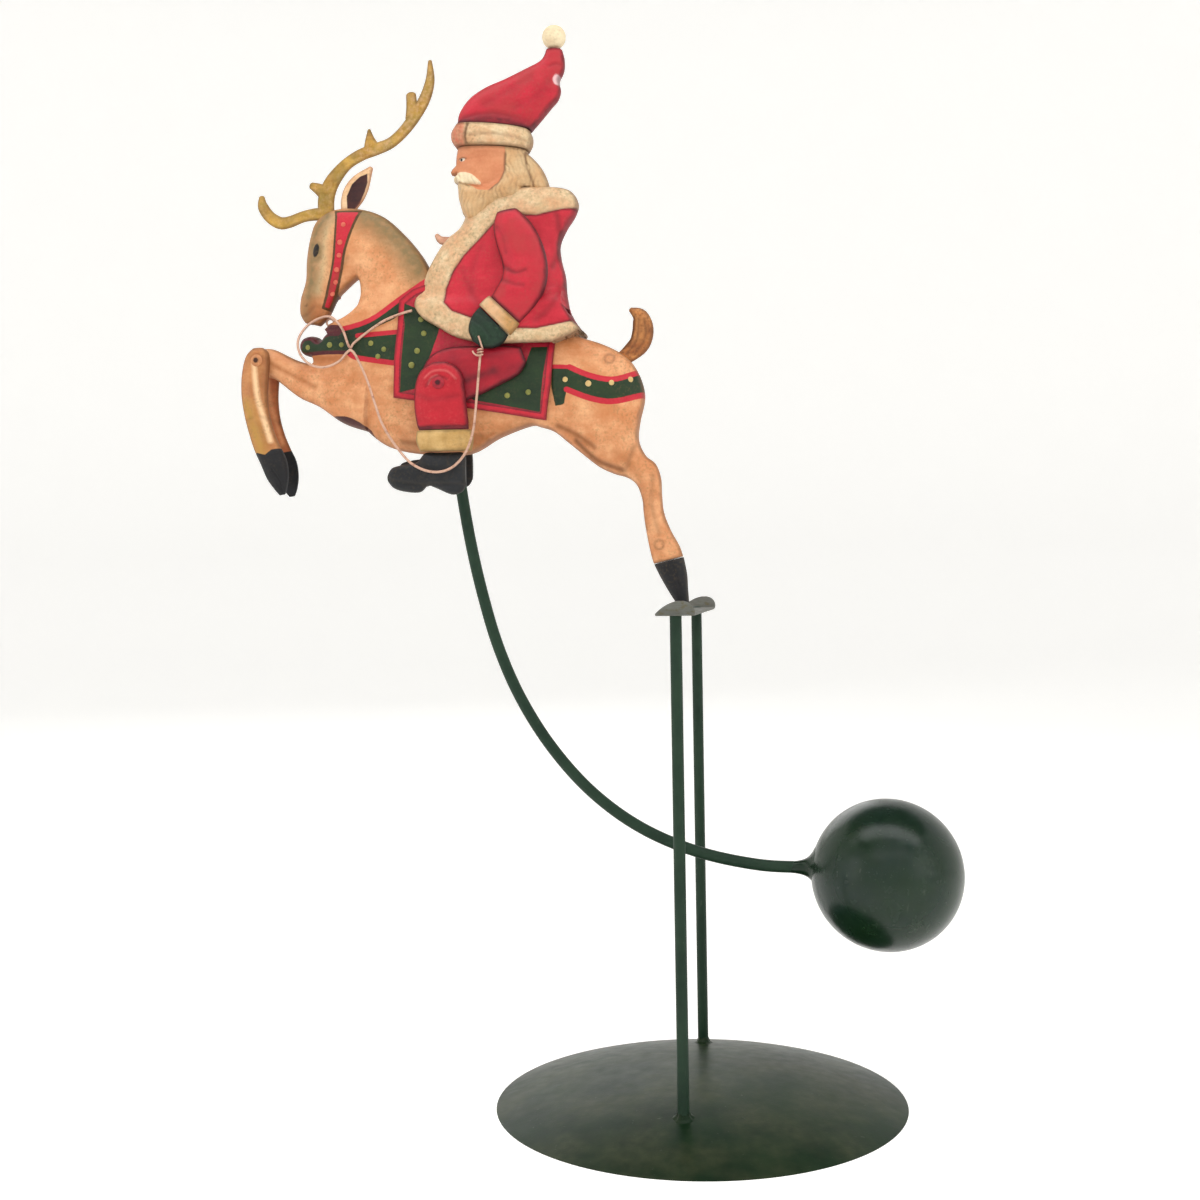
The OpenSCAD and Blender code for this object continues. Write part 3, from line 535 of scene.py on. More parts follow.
def bare_metal(name, deep, pale, rough=0.4, grain=(1, 1, 1), metal=0.9, spots=(92, 84, 52)):
    """Bare or thinly tinned metal with brushed grain and brown spots."""
    p = Paint(name)
    grainy, broad = p.noise(0.7, 4, stretch=grain), p.noise(5, 4, offset=4.0)
    colour = p.mix((grainy * 0.6 + broad * 0.6 - 0.1).clamped(), deep, pale)
    brown = p.noise(2.2, 4, offset=8.0).over(0.6, 0.12)
    colour = p.mix(brown * 0.6, colour, spots)
    relief = grainy * 0.6 + broad * 0.4
    return p.finish(colour, rough + grainy * 0.2 + brown * 0.2, relief, 0.05, metallic=metal * (1 - brown * 0.5))


# %% The finishes of this ornament
GREEN, GREEN_PALE = (17, 38, 20), (34, 57, 26)
RED, RED_PALE = (178, 22, 42), (202, 38, 56)
CREAM, CREAM_PALE = (206, 170, 126), (232, 206, 166)
HIDE, HIDE_PALE = (206, 132, 84), (232, 174, 126)
BLACK, BLACK_PALE = (9, 9, 12), (24, 24, 28)
DARK, OLIVE = (52, 18, 26), (128, 108, 70)
stand_enamel = enamel("stand enamel", (12, 38, 24), (38, 62, 44))
base_enamel = enamel("base enamel", (6, 28, 14), (30, 50, 28), 0.32, 0, (66, 70, 48), 0.12)
ball_enamel = enamel("ball enamel", (10, 32, 18), (26, 48, 26), 0.2, 0, (18, 38, 36), 0.33)
plate_metal = bare_metal("worn plate", (70, 67, 54), (118, 121, 116), 0.55, (4, 1, 1), 0.15)
steel = bare_metal("steel", (70, 60, 50), (120, 108, 92), 0.45)
wire = bare_metal("copper wire", (176, 130, 108), (226, 192, 170), 0.36, metal=0.6, spots=(142, 88, 66))
print(len(bpy.data.materials), "materials so far")

# %% [markdown]
# ## The stand
# The stand is plain: a domed base of spun sheet, two thin rods and a small plate. The CAD shapes
# are exact here, so they stay, and only get their enamel.

# %% Dress the stand
def dress(material, *names):
    for name in names:
        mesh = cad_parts[name].data
        mesh.materials.clear()
        mesh.materials.append(material)
    print("dressed", ", ".join(names))


dress(base_enamel, "base_dome")
dress(stand_enamel, "front_upright", "rear_upright")
dress(ball_enamel, "ball_upper_shell", "ball_lower_shell")
dress(steel, "pivot_bead", "arm_block", "ballast_core")


# %% Rivets that were painted over
def painted_rivet(name, x, z, ring, centre):
    """Paint on a rivet head whose middle is worn dark."""
    p = Paint(name)
    middle = placed((x, 0, z)) * 1000
    flat = p.node("ShaderNodeVectorMath", {"operation": "MULTIPLY"}, {0: p.place, 1: (1000, 0, 1000)})
    away = p.node("ShaderNodeVectorMath", {"operation": "DISTANCE"}, {0: flat, 1: (middle[0], 0, middle[2])}, 1)
    rough_edge = p.noise(1.2, 4)
    worn = 1 - (away + rough_edge * 0.8 - 0.4).over(1.0, 0.5)
    shaded = tuple(c * 0.7 for c in srgb(ring)[:3]) + (1,)
    colour = p.mix(worn, p.mix(rough_edge.over(0.5, 0.4), ring, shaded), centre)
    return p.finish(colour, 0.5 + worn * 0.1, rough_edge - worn * 0.5, 0.1, specular=0.3)


dress(painted_rivet("deer rivet", -162.5, 97, (206, 140, 92), (66, 38, 26)), "deer_knee_rivet")
for side, x, z in (("near", -88.5, 84.7), ("far", -93, 88.7)):
    dress(painted_rivet(f"{side} knee rivet", x, z, (170, 34, 50), (70, 20, 28)), f"{side}_knee_rivet")

# %% [markdown]
# ## Weld, collar and plate
# Three small shapes are softer on the real object than in the CAD: the weld that runs out over
# the dome round each rod, the collar that flares into the ball, and the plate, whose bent ends
# are cut round. Each is a short sweep of a profile written as numbers.

# %% Rings of points round an axis
def skin(n, m, closed=False):
    """Triangles between n rings of m points. Open ends are closed to two points that come last."""
    triangles = []
    for j in range(n if closed else n - 1):
        k = (j + 1) % n
        for i in range(m):
            a, b, c, d = j * m + i, j * m + (i + 1) % m, k * m + (i + 1) % m, k * m + i
            triangles += [(a, b, c), (a, c, d)]
    if not closed:
        triangles += [(n * m, (i + 1) % m, i) for i in range(m)]
        triangles += [(n * m + 1, (n - 1) * m + i, (n - 1) * m + (i + 1) % m) for i in range(m)]
    return np.array(triangles)


def turned(name, rings, body, nodes, material):
    """A closed skin through rings of points, from one end to the other."""
    points = np.vstack([*rings, [rings[0].mean(axis=0)], [rings[-1].mean(axis=0)]])
    triangles = skin(len(rings), len(rings[0]))
    a, b, c = (points[triangles[:, k]] for k in range(3))
    if np.sum(np.cross(a, b) * c) < 0:
        triangles = triangles[:, ::-1]
    return solid(name, points, triangles, body, nodes, material)


STAND_X, UPRIGHT_Y, PLATE_Z, PLATE_W, PLATE_T = -2.4, 43.5, 185.5, 14.0, 1.0
DOME_R, DOME_RISE = 234.54, 13.0
BALL_X, BALL_DROP, BALL_D, ARM_RISE = 74, 100.5, 56, 2.45
UPRIGHTS = (("front", -1), ("rear", 1))
ROUND = np.linspace(0, 2 * math.pi, 40, endpoint=False)
dome = lambda x, y: DOME_RISE - DOME_R + np.sqrt(DOME_R**2 - x**2 - y**2)


def round_upright(end, radius, height):
    """A ring round an upright, in millimetres from the pivot. height is a function of x and y."""
    x, y = STAND_X + radius * np.cos(ROUND), end * UPRIGHT_Y + radius * np.sin(ROUND)
    return np.column_stack([x, y, np.full(len(x), height(x, y))]) - PIVOT * 1000


WELD = smooth([(4.3, -0.25), (3.7, 0.05), (3.1, 0.4), (2.6, 0.9), (2.25, 1.6), (2.05, 2.2)], 4)
for side, end in UPRIGHTS:
    wave = 1 + 0.05 * np.sin(ROUND * 5 + end) + 0.04 * np.sin(ROUND * 8)
    rings = [round_upright(end, r * wave, lambda x, y: dome(x, y) + rise) for r, rise in WELD]
    turned(f"{side}_weld", rings, "stand", ["upright_welds"], base_enamel)
COLLAR = smooth([(38.6, 2.15), (41, 2.4), (43.4, 3.0), (45.2, 4.0), (46.6, 5.6), (47.8, 7.6), (49.6, 9.4)], 4)
rings = [np.column_stack([np.full(len(ROUND), x), r * np.cos(ROUND), ARM_RISE - BALL_DROP + r * np.sin(ROUND)])
    for x, r in COLLAR]
turned("collar_flare", rings, "figure", ["ball_collar"], ball_enamel)


# %% The plate with round bent ends
STRAIGHT, BEND, FULL = 46.2, 6.5, 54.7  # half length up to the bend, radius of the bend, half length in all
TIP_SHIFT, TIP_POWER = 2.6, 2.4  # how far the bent ends swing sideways, and how blunt they are
EDGE = 0.5  # width of the rounded edge
DIMPLE_R, DIMPLE_REACH = 1.85, 1.8


def bent_plate():
    ends = np.concatenate([STRAIGHT + (FULL - STRAIGHT) * np.sin(np.linspace(0, math.pi / 2, 26)[:-1]), [FULL - 0.01]])
    row = np.concatenate([np.linspace(0, 2.1, 8)[:-1], np.linspace(2.1, STRAIGHT, 30)[:-1], ends])
    along = np.concatenate([-row[::-1], row[1:]])
    across = np.sin(np.linspace(-math.pi / 2, math.pi / 2, 37))
    top, bottom = [], []
    for s in along:
        t = max(0.0, abs(s) - STRAIGHT)
        out, a = t / (FULL - STRAIGHT), t / BEND
        half = PLATE_W / 2 * math.sqrt(max(0.0, 1 - out**TIP_POWER))
        y = math.copysign(min(abs(s), STRAIGHT) + BEND * math.sin(a), s)
        z = PLATE_Z - PLATE_T / 2 + BEND * (1 - math.cos(a))
        lean = np.array([0, -math.copysign(math.sin(a), s), math.cos(a)])
        for u in across:
            x = STAND_X + u * half + TIP_SHIFT * out**1.5
            edge = min(1.0, (half - abs(u) * half) / EDGE, (FULL - abs(s)) / EDGE)
            thick = PLATE_T / 2 * math.sqrt(1 - (1 - max(0.0, edge)) ** 2)
            upper = np.array([x, y, z]) + lean * thick
            reach = math.hypot(x - PIVOT[0] * 1000, y)
            if reach < DIMPLE_REACH and t == 0:
                upper[2] = min(upper[2], PIVOT[2] * 1000 - math.sqrt(DIMPLE_R**2 - reach**2))
            top.append(upper)
            bottom.append(np.array([x, y, z]) - lean * thick)
    m, n = len(across), len(along)
    corners = [j * m + i for j in range(n - 1) for i in range(m - 1)]
    triangles = np.array([t for a in corners for t in ((a, a + 1, a + m + 1), (a, a + m + 1, a + m))])
    triangles = np.vstack([triangles, triangles[:, ::-1] + m * n])
    points = np.array(top + bottom) - PIVOT * 1000
    piece = solid("plate_strip", points, triangles, "stand", ["pivot_plate"], plate_metal)
    bm = bmesh.new()
    bm.from_mesh(piece.data)
    bmesh.ops.remove_doubles(bm, verts=bm.verts, dist=2e-5)
    bmesh.ops.recalc_face_normals(bm, faces=bm.faces)
    bm.to_mesh(piece.data)
    bm.free()
    piece.data.shade_smooth()


bent_plate()
TENON_R, TENON_RISE = 2.0, 0.6
for side, end in UPRIGHTS:
    rings = [round_upright(end, TENON_R * math.cos(a), lambda x, y: PLATE_Z - 0.1 + TENON_RISE * math.sin(a))
        for a in np.linspace(0, 1.5, 8)]
    turned(f"{side}_tenon_head", rings, "stand", [], stand_enamel)

# %% [markdown]
# ## The deer
# The deer is pressed from two sheets, a near and a far half, that meet in a seam all round. The
# body with its neck, head and one hind leg is one shape, and the raised forearm joins the chest.
# Both halves come from one function of height, so they are made as one closed piece.

# %% Ribs and depth of the deer
DEER_DEPTH = 9.5
DEER_RIBS = [[-145.5, 112, -139.5, 110.5, 0.28], [-147.2, 115.5, -135.8, 114.5, 0.45],
    [-146.8, 121, -132.3, 121, 0.55], [-144.6, 128, -127.5, 125.6, 0.62], [-144, 136, -125, 127.6, 0.68],
    [-142.5, 144, -124, 128.1, 0.72], [-139.5, 151, -123.4, 128.1, 0.74], [-132, 155, -122.9, 127.2, 0.74],
    [-122, 154.6, -122.4, 125.2, 0.75], [-113, 151.2, -122.4, 122.3, 0.78], [-105, 144, -123, 119.2, 0.83],
    [-98.5, 136, -125.5, 115, 0.88], [-94, 128, -132, 111, 0.93], [-89.5, 121.7, -141, 108, 0.95],
    [-84.5, 117.2, -148, 104.5, 0.96], [-80, 113.7, -149.2, 100, 0.97], [-74, 111, -146, 95.5, 0.98],
    [-68, 109.2, -138.2, 88, 1], [-63, 108, -128.5, 78, 1], [-58, 106.8, -119.5, 67.6, 1],
    [-54, 105.8, -110.5, 62, 1], [-50, 105, -97, 59.5, 1], [-45.5, 104, -81, 59.2, 1], [-40, 103, -69.5, 65, 1],
    [-34, 101, -57.5, 69.2, 1], [-29, 99.2, -53, 68.6, 1], [-23, 96.2, -48, 66.8, 1], [-18, 92, -43.5, 63.2, 0.98],
    [-14.4, 85.2, -38.5, 59, 0.94], [-13.3, 78.4, -31, 53, 0.86], [-15.2, 70.2, -25.2, 50.2, 0.74],
    [-15.9, 63, -21.2, 49, 0.62], [-13.4, 57, -18.2, 47.3, 0.53], [-9.6, 53.6, -16.3, 44.8, 0.48],
    [-7.7, 48.3, -14.8, 40, 0.45], [-7.4, 42, -14.5, 35.8, 0.44], [-6.8, 35.5, -13.8, 29.8, 0.43],
    [-4.4, 28.8, -12.8, 24, 0.43], [-1.2, 22.8, -11.8, 19.2, 0.45], [0.2, 18.7, -10.9, 16.05, 0.45]]
FOREARM_RIBS = [[-166, 99.5, -165, 94.5, 0.36], [-164, 101.8, -162.5, 91.8, 0.48], [-158.5, 102.2, -157.5, 90.2, 0.5],
    [-148.5, 97.4, -148.5, 83.2, 0.52], [-138.5, 94.6, -140, 79, 0.7], [-129, 92, -130.5, 72.4, 0.9],
    [-119, 90, -121, 69, 0.96]]
SCALLOP = [(-142, 96.4), (-142.6, 98.3), (-144.5, 99), (-146.2, 99.8), (-147.1, 101.6), (-146.9, 103.8),
    (-145.4, 105.8), (-142.6, 106.6), (-140, 106), (-138.5, 104.7), (-137.4, 106.1), (-136, 107.4), (-134.6, 108.8)]


def cut_chest(outline):
    """The outline with the chest cut along the two bows at the end of the strap."""
    cut = (outline[:, 0] < -134.2) & (outline[:, 1] > 95) & (outline[:, 1] < 110.2)
    first, last = np.flatnonzero(cut)[[0, -1]]
    return np.vstack([outline[:first], smooth(SCALLOP, 3), outline[last + 1:]])


DEER = [cut_chest(rib_outline(DEER_RIBS)), rib_outline(FOREARM_RIBS)]


def base_deer(P):
    """The deer's pressed form, without its straps and drawn lines."""
    return soft_max(rib_height(P, DEER_RIBS, DEER_DEPTH), rib_height(P, FOREARM_RIBS, DEER_DEPTH), 1.6)


# %% Bands and strokes
def band(one, other):
    """The outline of a band between two smooth lines."""
    return np.vstack([smooth(one, 4), smooth(other, 4)[::-1]])


def stroke(lines, widths):
    """How far each point lies inside smooth strokes. widths are half widths in millimetres."""
    return lambda P: np.max([w - line_distance(P, smooth(line, 4)) for line, w in zip(lines, widths)], axis=0)


# %% Grooves, straps and colour lines of the deer
DEER_GROOVES = [([(-39, 62.8), (-34, 57.6), (-29.7, 54.4), (-22.2, 51.6)], -0.7, 0.9),
    ([(-46, 68.6), (-38, 64.6), (-32, 60)], -0.45, 1.0), ([(-51, 92), (-48.6, 80), (-43, 70)], -0.5, 3.0),
    ([(-126, 99), (-121.6, 88), (-119.6, 77)], -0.6, 2.6), ([(-107, 139), (-113, 128), (-115, 116)], -0.5, 3.0),
    ([(-126.4, 135), (-130.6, 128.6), (-135, 121.6)], -0.4, 1.0),
    ([(-146.4, 114), (-143.4, 114.8), (-140.4, 117.4)], -0.45, 0.6),
    ([(-10.4, 49), (-11, 38), (-8.4, 27)], -0.35, 0.9), ([(-17, 60), (-19.4, 54), (-21, 51)], -0.4, 1.0),
    ([(-90, 58), (-97, 62.4), (-106, 64)], -0.4, 1.2),
    ([(-163, 98.4), (-156, 97.6), (-146, 92.4), (-134, 88)], 0.5, 1.4),
    ([(-141.4, 143.4), (-138.6, 143), (-135.6, 140.4)], 0.6, 1.0),
    ([(-12.6, 84), (-15.6, 73), (-16.6, 63)], 0.4, 1.6)]
EYE_PLACE, EYE_FORM = (-138.7, 138.6), (2.0, -14)  # the eye is twice as high as wide and leans back
RIBBON_TOP = [(-46.4, 89), (-40.4, 90), (-32.9, 86.6), (-24.6, 84.9), (-17.1, 86.9), (-12, 90)]
RIBBON_BOTTOM = [(-41.6, 81.6), (-33, 78.1), (-24.8, 76.6), (-16.1, 78.3), (-10, 80.6)]
RIBBON = band(RIBBON_TOP, RIBBON_BOTTOM)
RIBBON_END = [(-47, 90.4), (-42, 89), (-41.4, 82), (-42.8, 76.2), (-46.2, 75.8), (-47.4, 83)]
BRIDLE_FRONT = [(-131.9, 154), (-131, 149.2), (-132.1, 134.7), (-135.5, 122.6), (-137.6, 116.6)]
BRIDLE_BACK = [(-120.6, 153.6), (-122.3, 149.5), (-126.5, 138.2), (-129.5, 126.9), (-134.6, 115.6)]
BRIDLE = band(BRIDLE_FRONT, BRIDLE_BACK)
STRAP_TOP = [(-129.4, 107.4), (-117.3, 110.4), (-105.4, 118), (-93, 127)]
STRAP_UPPER = STRAP_TOP + [(-90, 122), (-100, 115.6), (-108, 110.4), (-123.3, 104.2)]
STRAP_LOWER = [(-149, 98.9), (-149, 108), (-142, 108), (-138.5, 104.9), (-136.7, 106.8), (-133.5, 107.6),
    (-129.6, 107.2), (-123.3, 104.4), (-117, 104.4), (-104, 104.9), (-104, 94), (-121.5, 97), (-126, 98.8),
    (-135.4, 99.2), (-144.1, 98.9)]
STRAP_RED = [STRAP_TOP, [(-125.6, 98.2), (-121.5, 96.3), (-104, 93.2)], [(-122, 104.8), (-113, 105.3), (-104, 105.8)]]
STRAP_DARK = [[(-147.4, 101.6), (-147, 103.8), (-145.4, 105.7), (-142.6, 106.4), (-140, 105.8), (-138.5, 104.6),
    (-136.9, 106.3), (-133.5, 107.4), (-130.4, 107.2)], [(-147, 100), (-144.1, 99), (-135.4, 99.1), (-126, 98.7)]]
CREST = [(-120, 152), (-111, 147), (-103.6, 139), (-98, 130)]
BROW = [(-147, 118), (-146.4, 124), (-144.6, 134), (-143, 144)]
BELLY = [(-126, 72), (-111, 62.6), (-97, 60), (-81, 60), (-69.5, 65.6), (-57, 69.6)]
FACE_FRONT = [(-134.6, 152), (-138.6, 146), (-140.6, 138), (-141, 129), (-142.6, 120), (-143.6, 114)]
FACE_SIDE = [(-133.4, 150), (-135, 143), (-136, 133), (-138.6, 123)]
# Painted shadow: a dark patch at the front of the belly stands for the shaded underside in the gap between the two
# halves.
SHADOW_LIP = [(-133.4, 75), (-128.2, 74.6), (-125.5, 73.8), (-122.3, 72), (-118.6, 69), (-117, 65), (-127, 64),
    (-134, 71)]
# Painted shade: a brown band just under the chest strap, where the strap shades the neck.
SHADE_UNDER_STRAP = [(-141, 97.4), (-134, 96.8), (-128, 96.8)]
MUSCLE_LINES = [DEER_GROOVES[0][0], DEER_GROOVES[1][0], [(-81, 62.4), (-76, 63.6), (-70, 66.6)],
    [(-90, 61.6), (-97, 63), (-106, 64.6)], [(-158, 96), (-150, 91.6), (-140, 86.4)]]
HIND_LEG_LINE = [(-13, 30), (-13.6, 40), (-16, 50), (-24, 58)]

# %% Height and colours of the deer
SHOULDER = (-143, 102, 9.5)  # the forearm's root, where the form stays below a round edge
STAMPED_RINGS = [(-25.6, 92.9), (-8.4, 23.2)]
straps = inside_of(RIBBON, RIBBON_END, STRAP_UPPER, STRAP_LOWER)
red_lines = STRAP_RED + [RIBBON_TOP[1:], RIBBON_BOTTOM, [RIBBON_END[0], RIBBON_TOP[1]]]
red_edges = stroke(red_lines, [1.0, 1.0, 0.9, 1.05, 1.05, 0.8])
dark_edges = stroke(STRAP_DARK, [2.2, 0.7])  # the maroon edge of the two bows in front


def deer_height(P):
    inside = np.clip(within(P, DEER), 0, 9)
    form = base_deer(P)
    form = np.where(spot(P, *SHOULDER) > 0, np.minimum(form, 5 * np.sqrt(inside)), form)
    calm = np.clip(inside / 2, 0, 1)
    raised = 0.3 * np.clip(np.maximum(straps(P), depth_in(P, BRIDLE)) / 0.5, 0, 1)
    eye = 0.7 * np.sqrt(np.clip(spot(P, *EYE_PLACE, 1.5, *EYE_FORM), 0, 1.5) / 1.5)
    return form + calm * (creases(P, DEER_GROOVES) + raised + eye)


def deer_fold(P):
    rings = sum(np.exp(-(((np.hypot(P[:, 0] - x, P[:, 1] - z) - 1.7) / 0.45) ** 2)) for x, z in STAMPED_RINGS)
    nostril = np.clip(spot(P, -143.6, 118, 1.0, 0.6, 30) * 2, 0, 1)
    lines = in_grooves([m for m in DEER_GROOVES if m[1] < 0 and m[2] < 2], 1.2)(P)
    return np.clip(lines + 0.7 * rings + nostril, 0, 1)


def deer_weather(P):
    """Where the deer's paint is most speckled: neck crest, front of the face and belly."""
    lines = ((1, CREST, 9), (1, BROW, 6), (0.5, BELLY, 10))
    worn = np.max([most - line_distance(P, line) / reach for most, line, reach in lines], axis=0)
    return np.clip(0.16 + np.maximum(worn, 0), 0, 0.95)


def deer_olive(P):
    """The grey olive wash down the face, round the eye and over the crest of the neck."""
    eye = np.clip(spot(P, EYE_PLACE[0] + 0.2, EYE_PLACE[1] - 1, 3.6, 1.9, -14) / 2, 0, 1)
    return np.clip(np.max([near_line(P, FACE_FRONT, 5.5), eye, 1.1 * near_line(P, CREST, 10)], axis=0), 0, 1)


def deer_brown_and_shade(P):
    """Brown in the muzzle, along the muscle lines and on the lower edge of the body, and painted shade under the chest
    strap.
    """
    muzzle = np.clip(spot(P, -140, 115.6, 6, 1.3) / 4, 0, 1) * 0.8
    lines = np.max([near_line(P, line, 1.5) for line in MUSCLE_LINES], axis=0)
    belly = 0.7 * near_line(P, BELLY, 4) + 0.8 * np.clip(spot(P, -76.4, 64.4, 4.6, 0.6, 8) / 2, 0, 1)
    leg = 0.5 * near_line(P, HIND_LEG_LINE, 2.4)
    # The band under the chest strap is painted shade.
    return np.clip(np.max([muzzle, lines, belly, leg, 1.2 * near_line(P, SHADE_UNDER_STRAP, 2.6)], axis=0), 0, 1)


# %% Paint of the deer
# The dark patch at the front of the belly is a painted shadow.
hide_paint = antiqued(
    "hide paint", HIDE, HIDE_PALE, warm=(194, 118, 66), rub_and_shade=0.75, specks=0.5, speck=(146, 112, 66),
    speck_area="weather", areas=[("strap", GREEN, GREEN_PALE, 0.0), ("red line", RED, RED_PALE, 0.0),
        ("bridle", (66, 44, 22), (96, 66, 34), 0.0), ("bridle", RED, RED_PALE, 0.95),
        ("dark lip", (48, 18, 18), (80, 32, 28), 0.0), ("dark edge", (62, 18, 26), (92, 28, 34), 0.0),
        ("eye", (20, 15, 13), (34, 26, 20), 0.0)],
    # The brown tint holds brown paint and also painted shade under the chest strap.
    tints=[("face side", (204, 178, 134), 0.8), ("olive", OLIVE, 0.95), ("brown", (168, 96, 48), 0.8)])
pressed("deer_body", DEER, deer_height, "hide_paint", ["deer_near_shell", "deer_far_shell"], hide_paint, {
    "strap": straps, "red line": red_edges, "bridle": inside_of(BRIDLE), "dark lip": inside_of(SHADOW_LIP),
    "dark edge": dark_edges, "eye": lambda P: spot(P, *EYE_PLACE, 1.3, *EYE_FORM), "face side": beside(FACE_SIDE, 3.6),
    "olive": deer_olive, "brown": deer_brown_and_shade, "fold": deer_fold, "weather": deer_weather}, spacing=0.7)

# %% [markdown]
# ## Hoof, antler, ear and tail
# The antler and the ear are cut from flat sheet and stand in the seam. Their edges are rounded
# with a file on the real thing, so the same builder is used with a low, flat height.

# %% Strips for the flat pieces
def strip(line):
    """The outline of a strip along a centre line of places and half widths."""
    s = smooth(line, 5)
    along = np.gradient(s[:, :2], axis=0)
    along /= np.linalg.norm(along, axis=1)[:, None]
    across = np.stack([-along[:, 1], along[:, 0]], axis=1)
    turn = np.linspace(0, math.pi, 9)[1:-1, None]
    tip = s[-1, :2] + s[-1, 2] * (np.cos(turn) * across[-1] + 0.7 * np.sin(turn) * along[-1])
    return np.vstack([s[:, :2] + across * s[:, 2:], tip, (s[:, :2] - across * s[:, 2:])[::-1]])


def ribbed(ribs, depth, marks=(), out=0.0, calm=1.0):
    """The outline and the height of a ribbed form, with drawn lines that fade towards its edge."""
    outlines = [rib_outline(ribs)]

    def height(P):
        return out + rib_height(P, ribs, depth) + np.clip(within(P, outlines) / calm, 0, 1) * creases(P, marks)

    return outlines, height


# %% Antler, ear, tail and hoof
ANTLER_BEAM = [[-135.7, 150.5, 3], [-136.4, 156.2, 3.3], [-135.9, 161.2, 3.3], [-133.4, 166.5, 3],
    [-128.1, 172.3, 2.4], [-122, 175.8, 2.4], [-115.6, 177.8, 2.4], [-110, 179.8, 2.2], [-104.8, 184, 2.2],
    [-100.3, 189.5, 2.4], [-96.2, 196.1, 2.3], [-94.1, 202.9, 1.8], [-94, 209.9, 0.8]]
ANTLER_BROW = [[-136.4, 153.6, 2.6], [-140.9, 153.9, 2.4], [-145.8, 153.2, 2.2], [-151.1, 151.5, 2.3],
    [-155.1, 151.3, 2.4], [-159.2, 153.9, 2.3], [-161.9, 157.9, 2.1], [-162.3, 161.4, 1.2]]
ANTLER_TINES = [[[-135.9, 161, 3], [-138.7, 163.3, 2.4], [-141.9, 165, 1.4]],
    [[-117.4, 177, 4], [-118.3, 181.4, 2], [-118.6, 185.2, 0.6]],
    [[-100.8, 189, 3.4], [-101.4, 193.4, 2.3], [-101.7, 197.4, 2]]]
EAR_LINE = [[-127.6, 152, 2], [-127, 156.5, 3.6], [-125, 161, 4.6], [-122, 165.6, 3.8], [-118.2, 170.4, 1]]
EAR_INSIDE = [(-127.6, 153.4), (-127.8, 160), (-125.6, 164.6), (-122.4, 167.3), (-119.4, 168.3), (-119.4, 165),
    (-120.6, 161.4), (-122.6, 157.2), (-125, 154.6)]
TAIL_LINE = [[-22, 93.4, 2.6], [-18.4, 95.8, 3.4], [-14.8, 99.4, 4], [-13.6, 104.6, 4], [-14.8, 109.4, 3],
    [-18, 111.8, 1]]
HOOF_RIBS = [[0.4, 18.4, -10.8, 15.8, 0.44], [1.6, 12, -8.4, 10.8, 0.41], [1.9, 6, -5.4, 5.4, 0.32],
    [2.3, 0.4, -2.3, 0.4, 0.25]]
ANTLER_MARKS = [([row[:2] for row in ANTLER_BEAM], -0.16, 0.35), ([row[:2] for row in ANTLER_BROW], -0.12, 0.3)]
TAIL_HAIRS = [([(-20, 95), (-16, 100), (-15, 108)], -0.3, 0.4), ([(-21, 97), (-17.6, 101), (-16.6, 109)], -0.3, 0.4),
    ([(-17, 94.6), (-12.6, 101), (-13, 108)], -0.25, 0.4)]
HOOF_MARKS = [([(-4, 17), (-1.6, 9), (-0.4, 1)], -0.35, 0.4), ([(-10, 16), (-4, 17.6), (0, 18.4)], 0.25, 0.6)]
antler_paint = antiqued("antler paint", (148, 100, 28), (210, 168, 74), warm=(116, 102, 44), rub_and_shade=0.85, rough=0.46,
    glaze_and_shade=(104, 76, 34), specks=0.65, speck=(206, 166, 124), speck_area="old")
ear_paint = antiqued("ear paint", (216, 164, 116), (236, 202, 160), areas=[("inside", (38, 18, 24), (72, 34, 30), 0.0)],
    rub_and_shade=0.75, glaze_and_shade=(140, 78, 60))
tail_paint = antiqued("tail paint", (180, 102, 44), (220, 158, 92), warm=(112, 60, 30), rub_and_shade=1.0, specks=0.8,
    speck=(112, 64, 34), speck_area="old")
hoof_paint = antiqued("hoof paint", (10, 10, 13), (26, 26, 30), glaze_and_shade=(84, 72, 54), rub_and_shade=0.3, specks=0.2)
antler_shapes = [strip(line) for line in [ANTLER_BEAM, ANTLER_BROW] + ANTLER_TINES]
ear_shape, tail_shape = [strip(EAR_LINE)], [strip(TAIL_LINE)]


def antler_height(P):
    ridges = np.clip(within(P, antler_shapes), 0, 1) * creases(P, ANTLER_MARKS)
    return plateau(P, antler_shapes, 0.6, 0.9) + ridges


def ear_height(P):
    return plateau(P, ear_shape, 0.75, 1.2) - 0.3 * np.clip(depth_in(P, EAR_INSIDE), 0, 1)


pressed("deer_antler", antler_shapes, antler_height, "antler_paint", ["antler"], antler_paint, {
    "fold": lambda P: 0.5 * soft_line(P, [(-140, 150), (-132, 150)], 3),
    "old": lambda P: 0.35 + 0.6 * near_line(P, [(-118, 177), (-100, 190), (-95, 208)], 6)})
pressed("deer_ear", ear_shape, ear_height, "hide_paint", ["ear"], ear_paint, {"inside": inside_of(EAR_INSIDE)},
    spacing=0.5)
pressed("deer_tail", tail_shape, lambda P: plateau(P, tail_shape, 1.7, 2.2) + creases(P, TAIL_HAIRS), "hide_paint",
    ["tail"], tail_paint, {"fold": in_grooves(TAIL_HAIRS, 2), "old": level(0.7)}, spacing=0.5)
pressed("hind_hoof_shell", *ribbed(HOOF_RIBS, DEER_DEPTH, HOOF_MARKS), "hoof_paint", ["hind_hoof"], hoof_paint,
    spacing=0.4)

# %% [markdown]
# ## The forelegs
# Each foreleg is a small solid limb on a loose rivet. It is drawn flat against the forearm, so
# its back is a plane and only its front is rounded. The same drawing serves near and far leg.

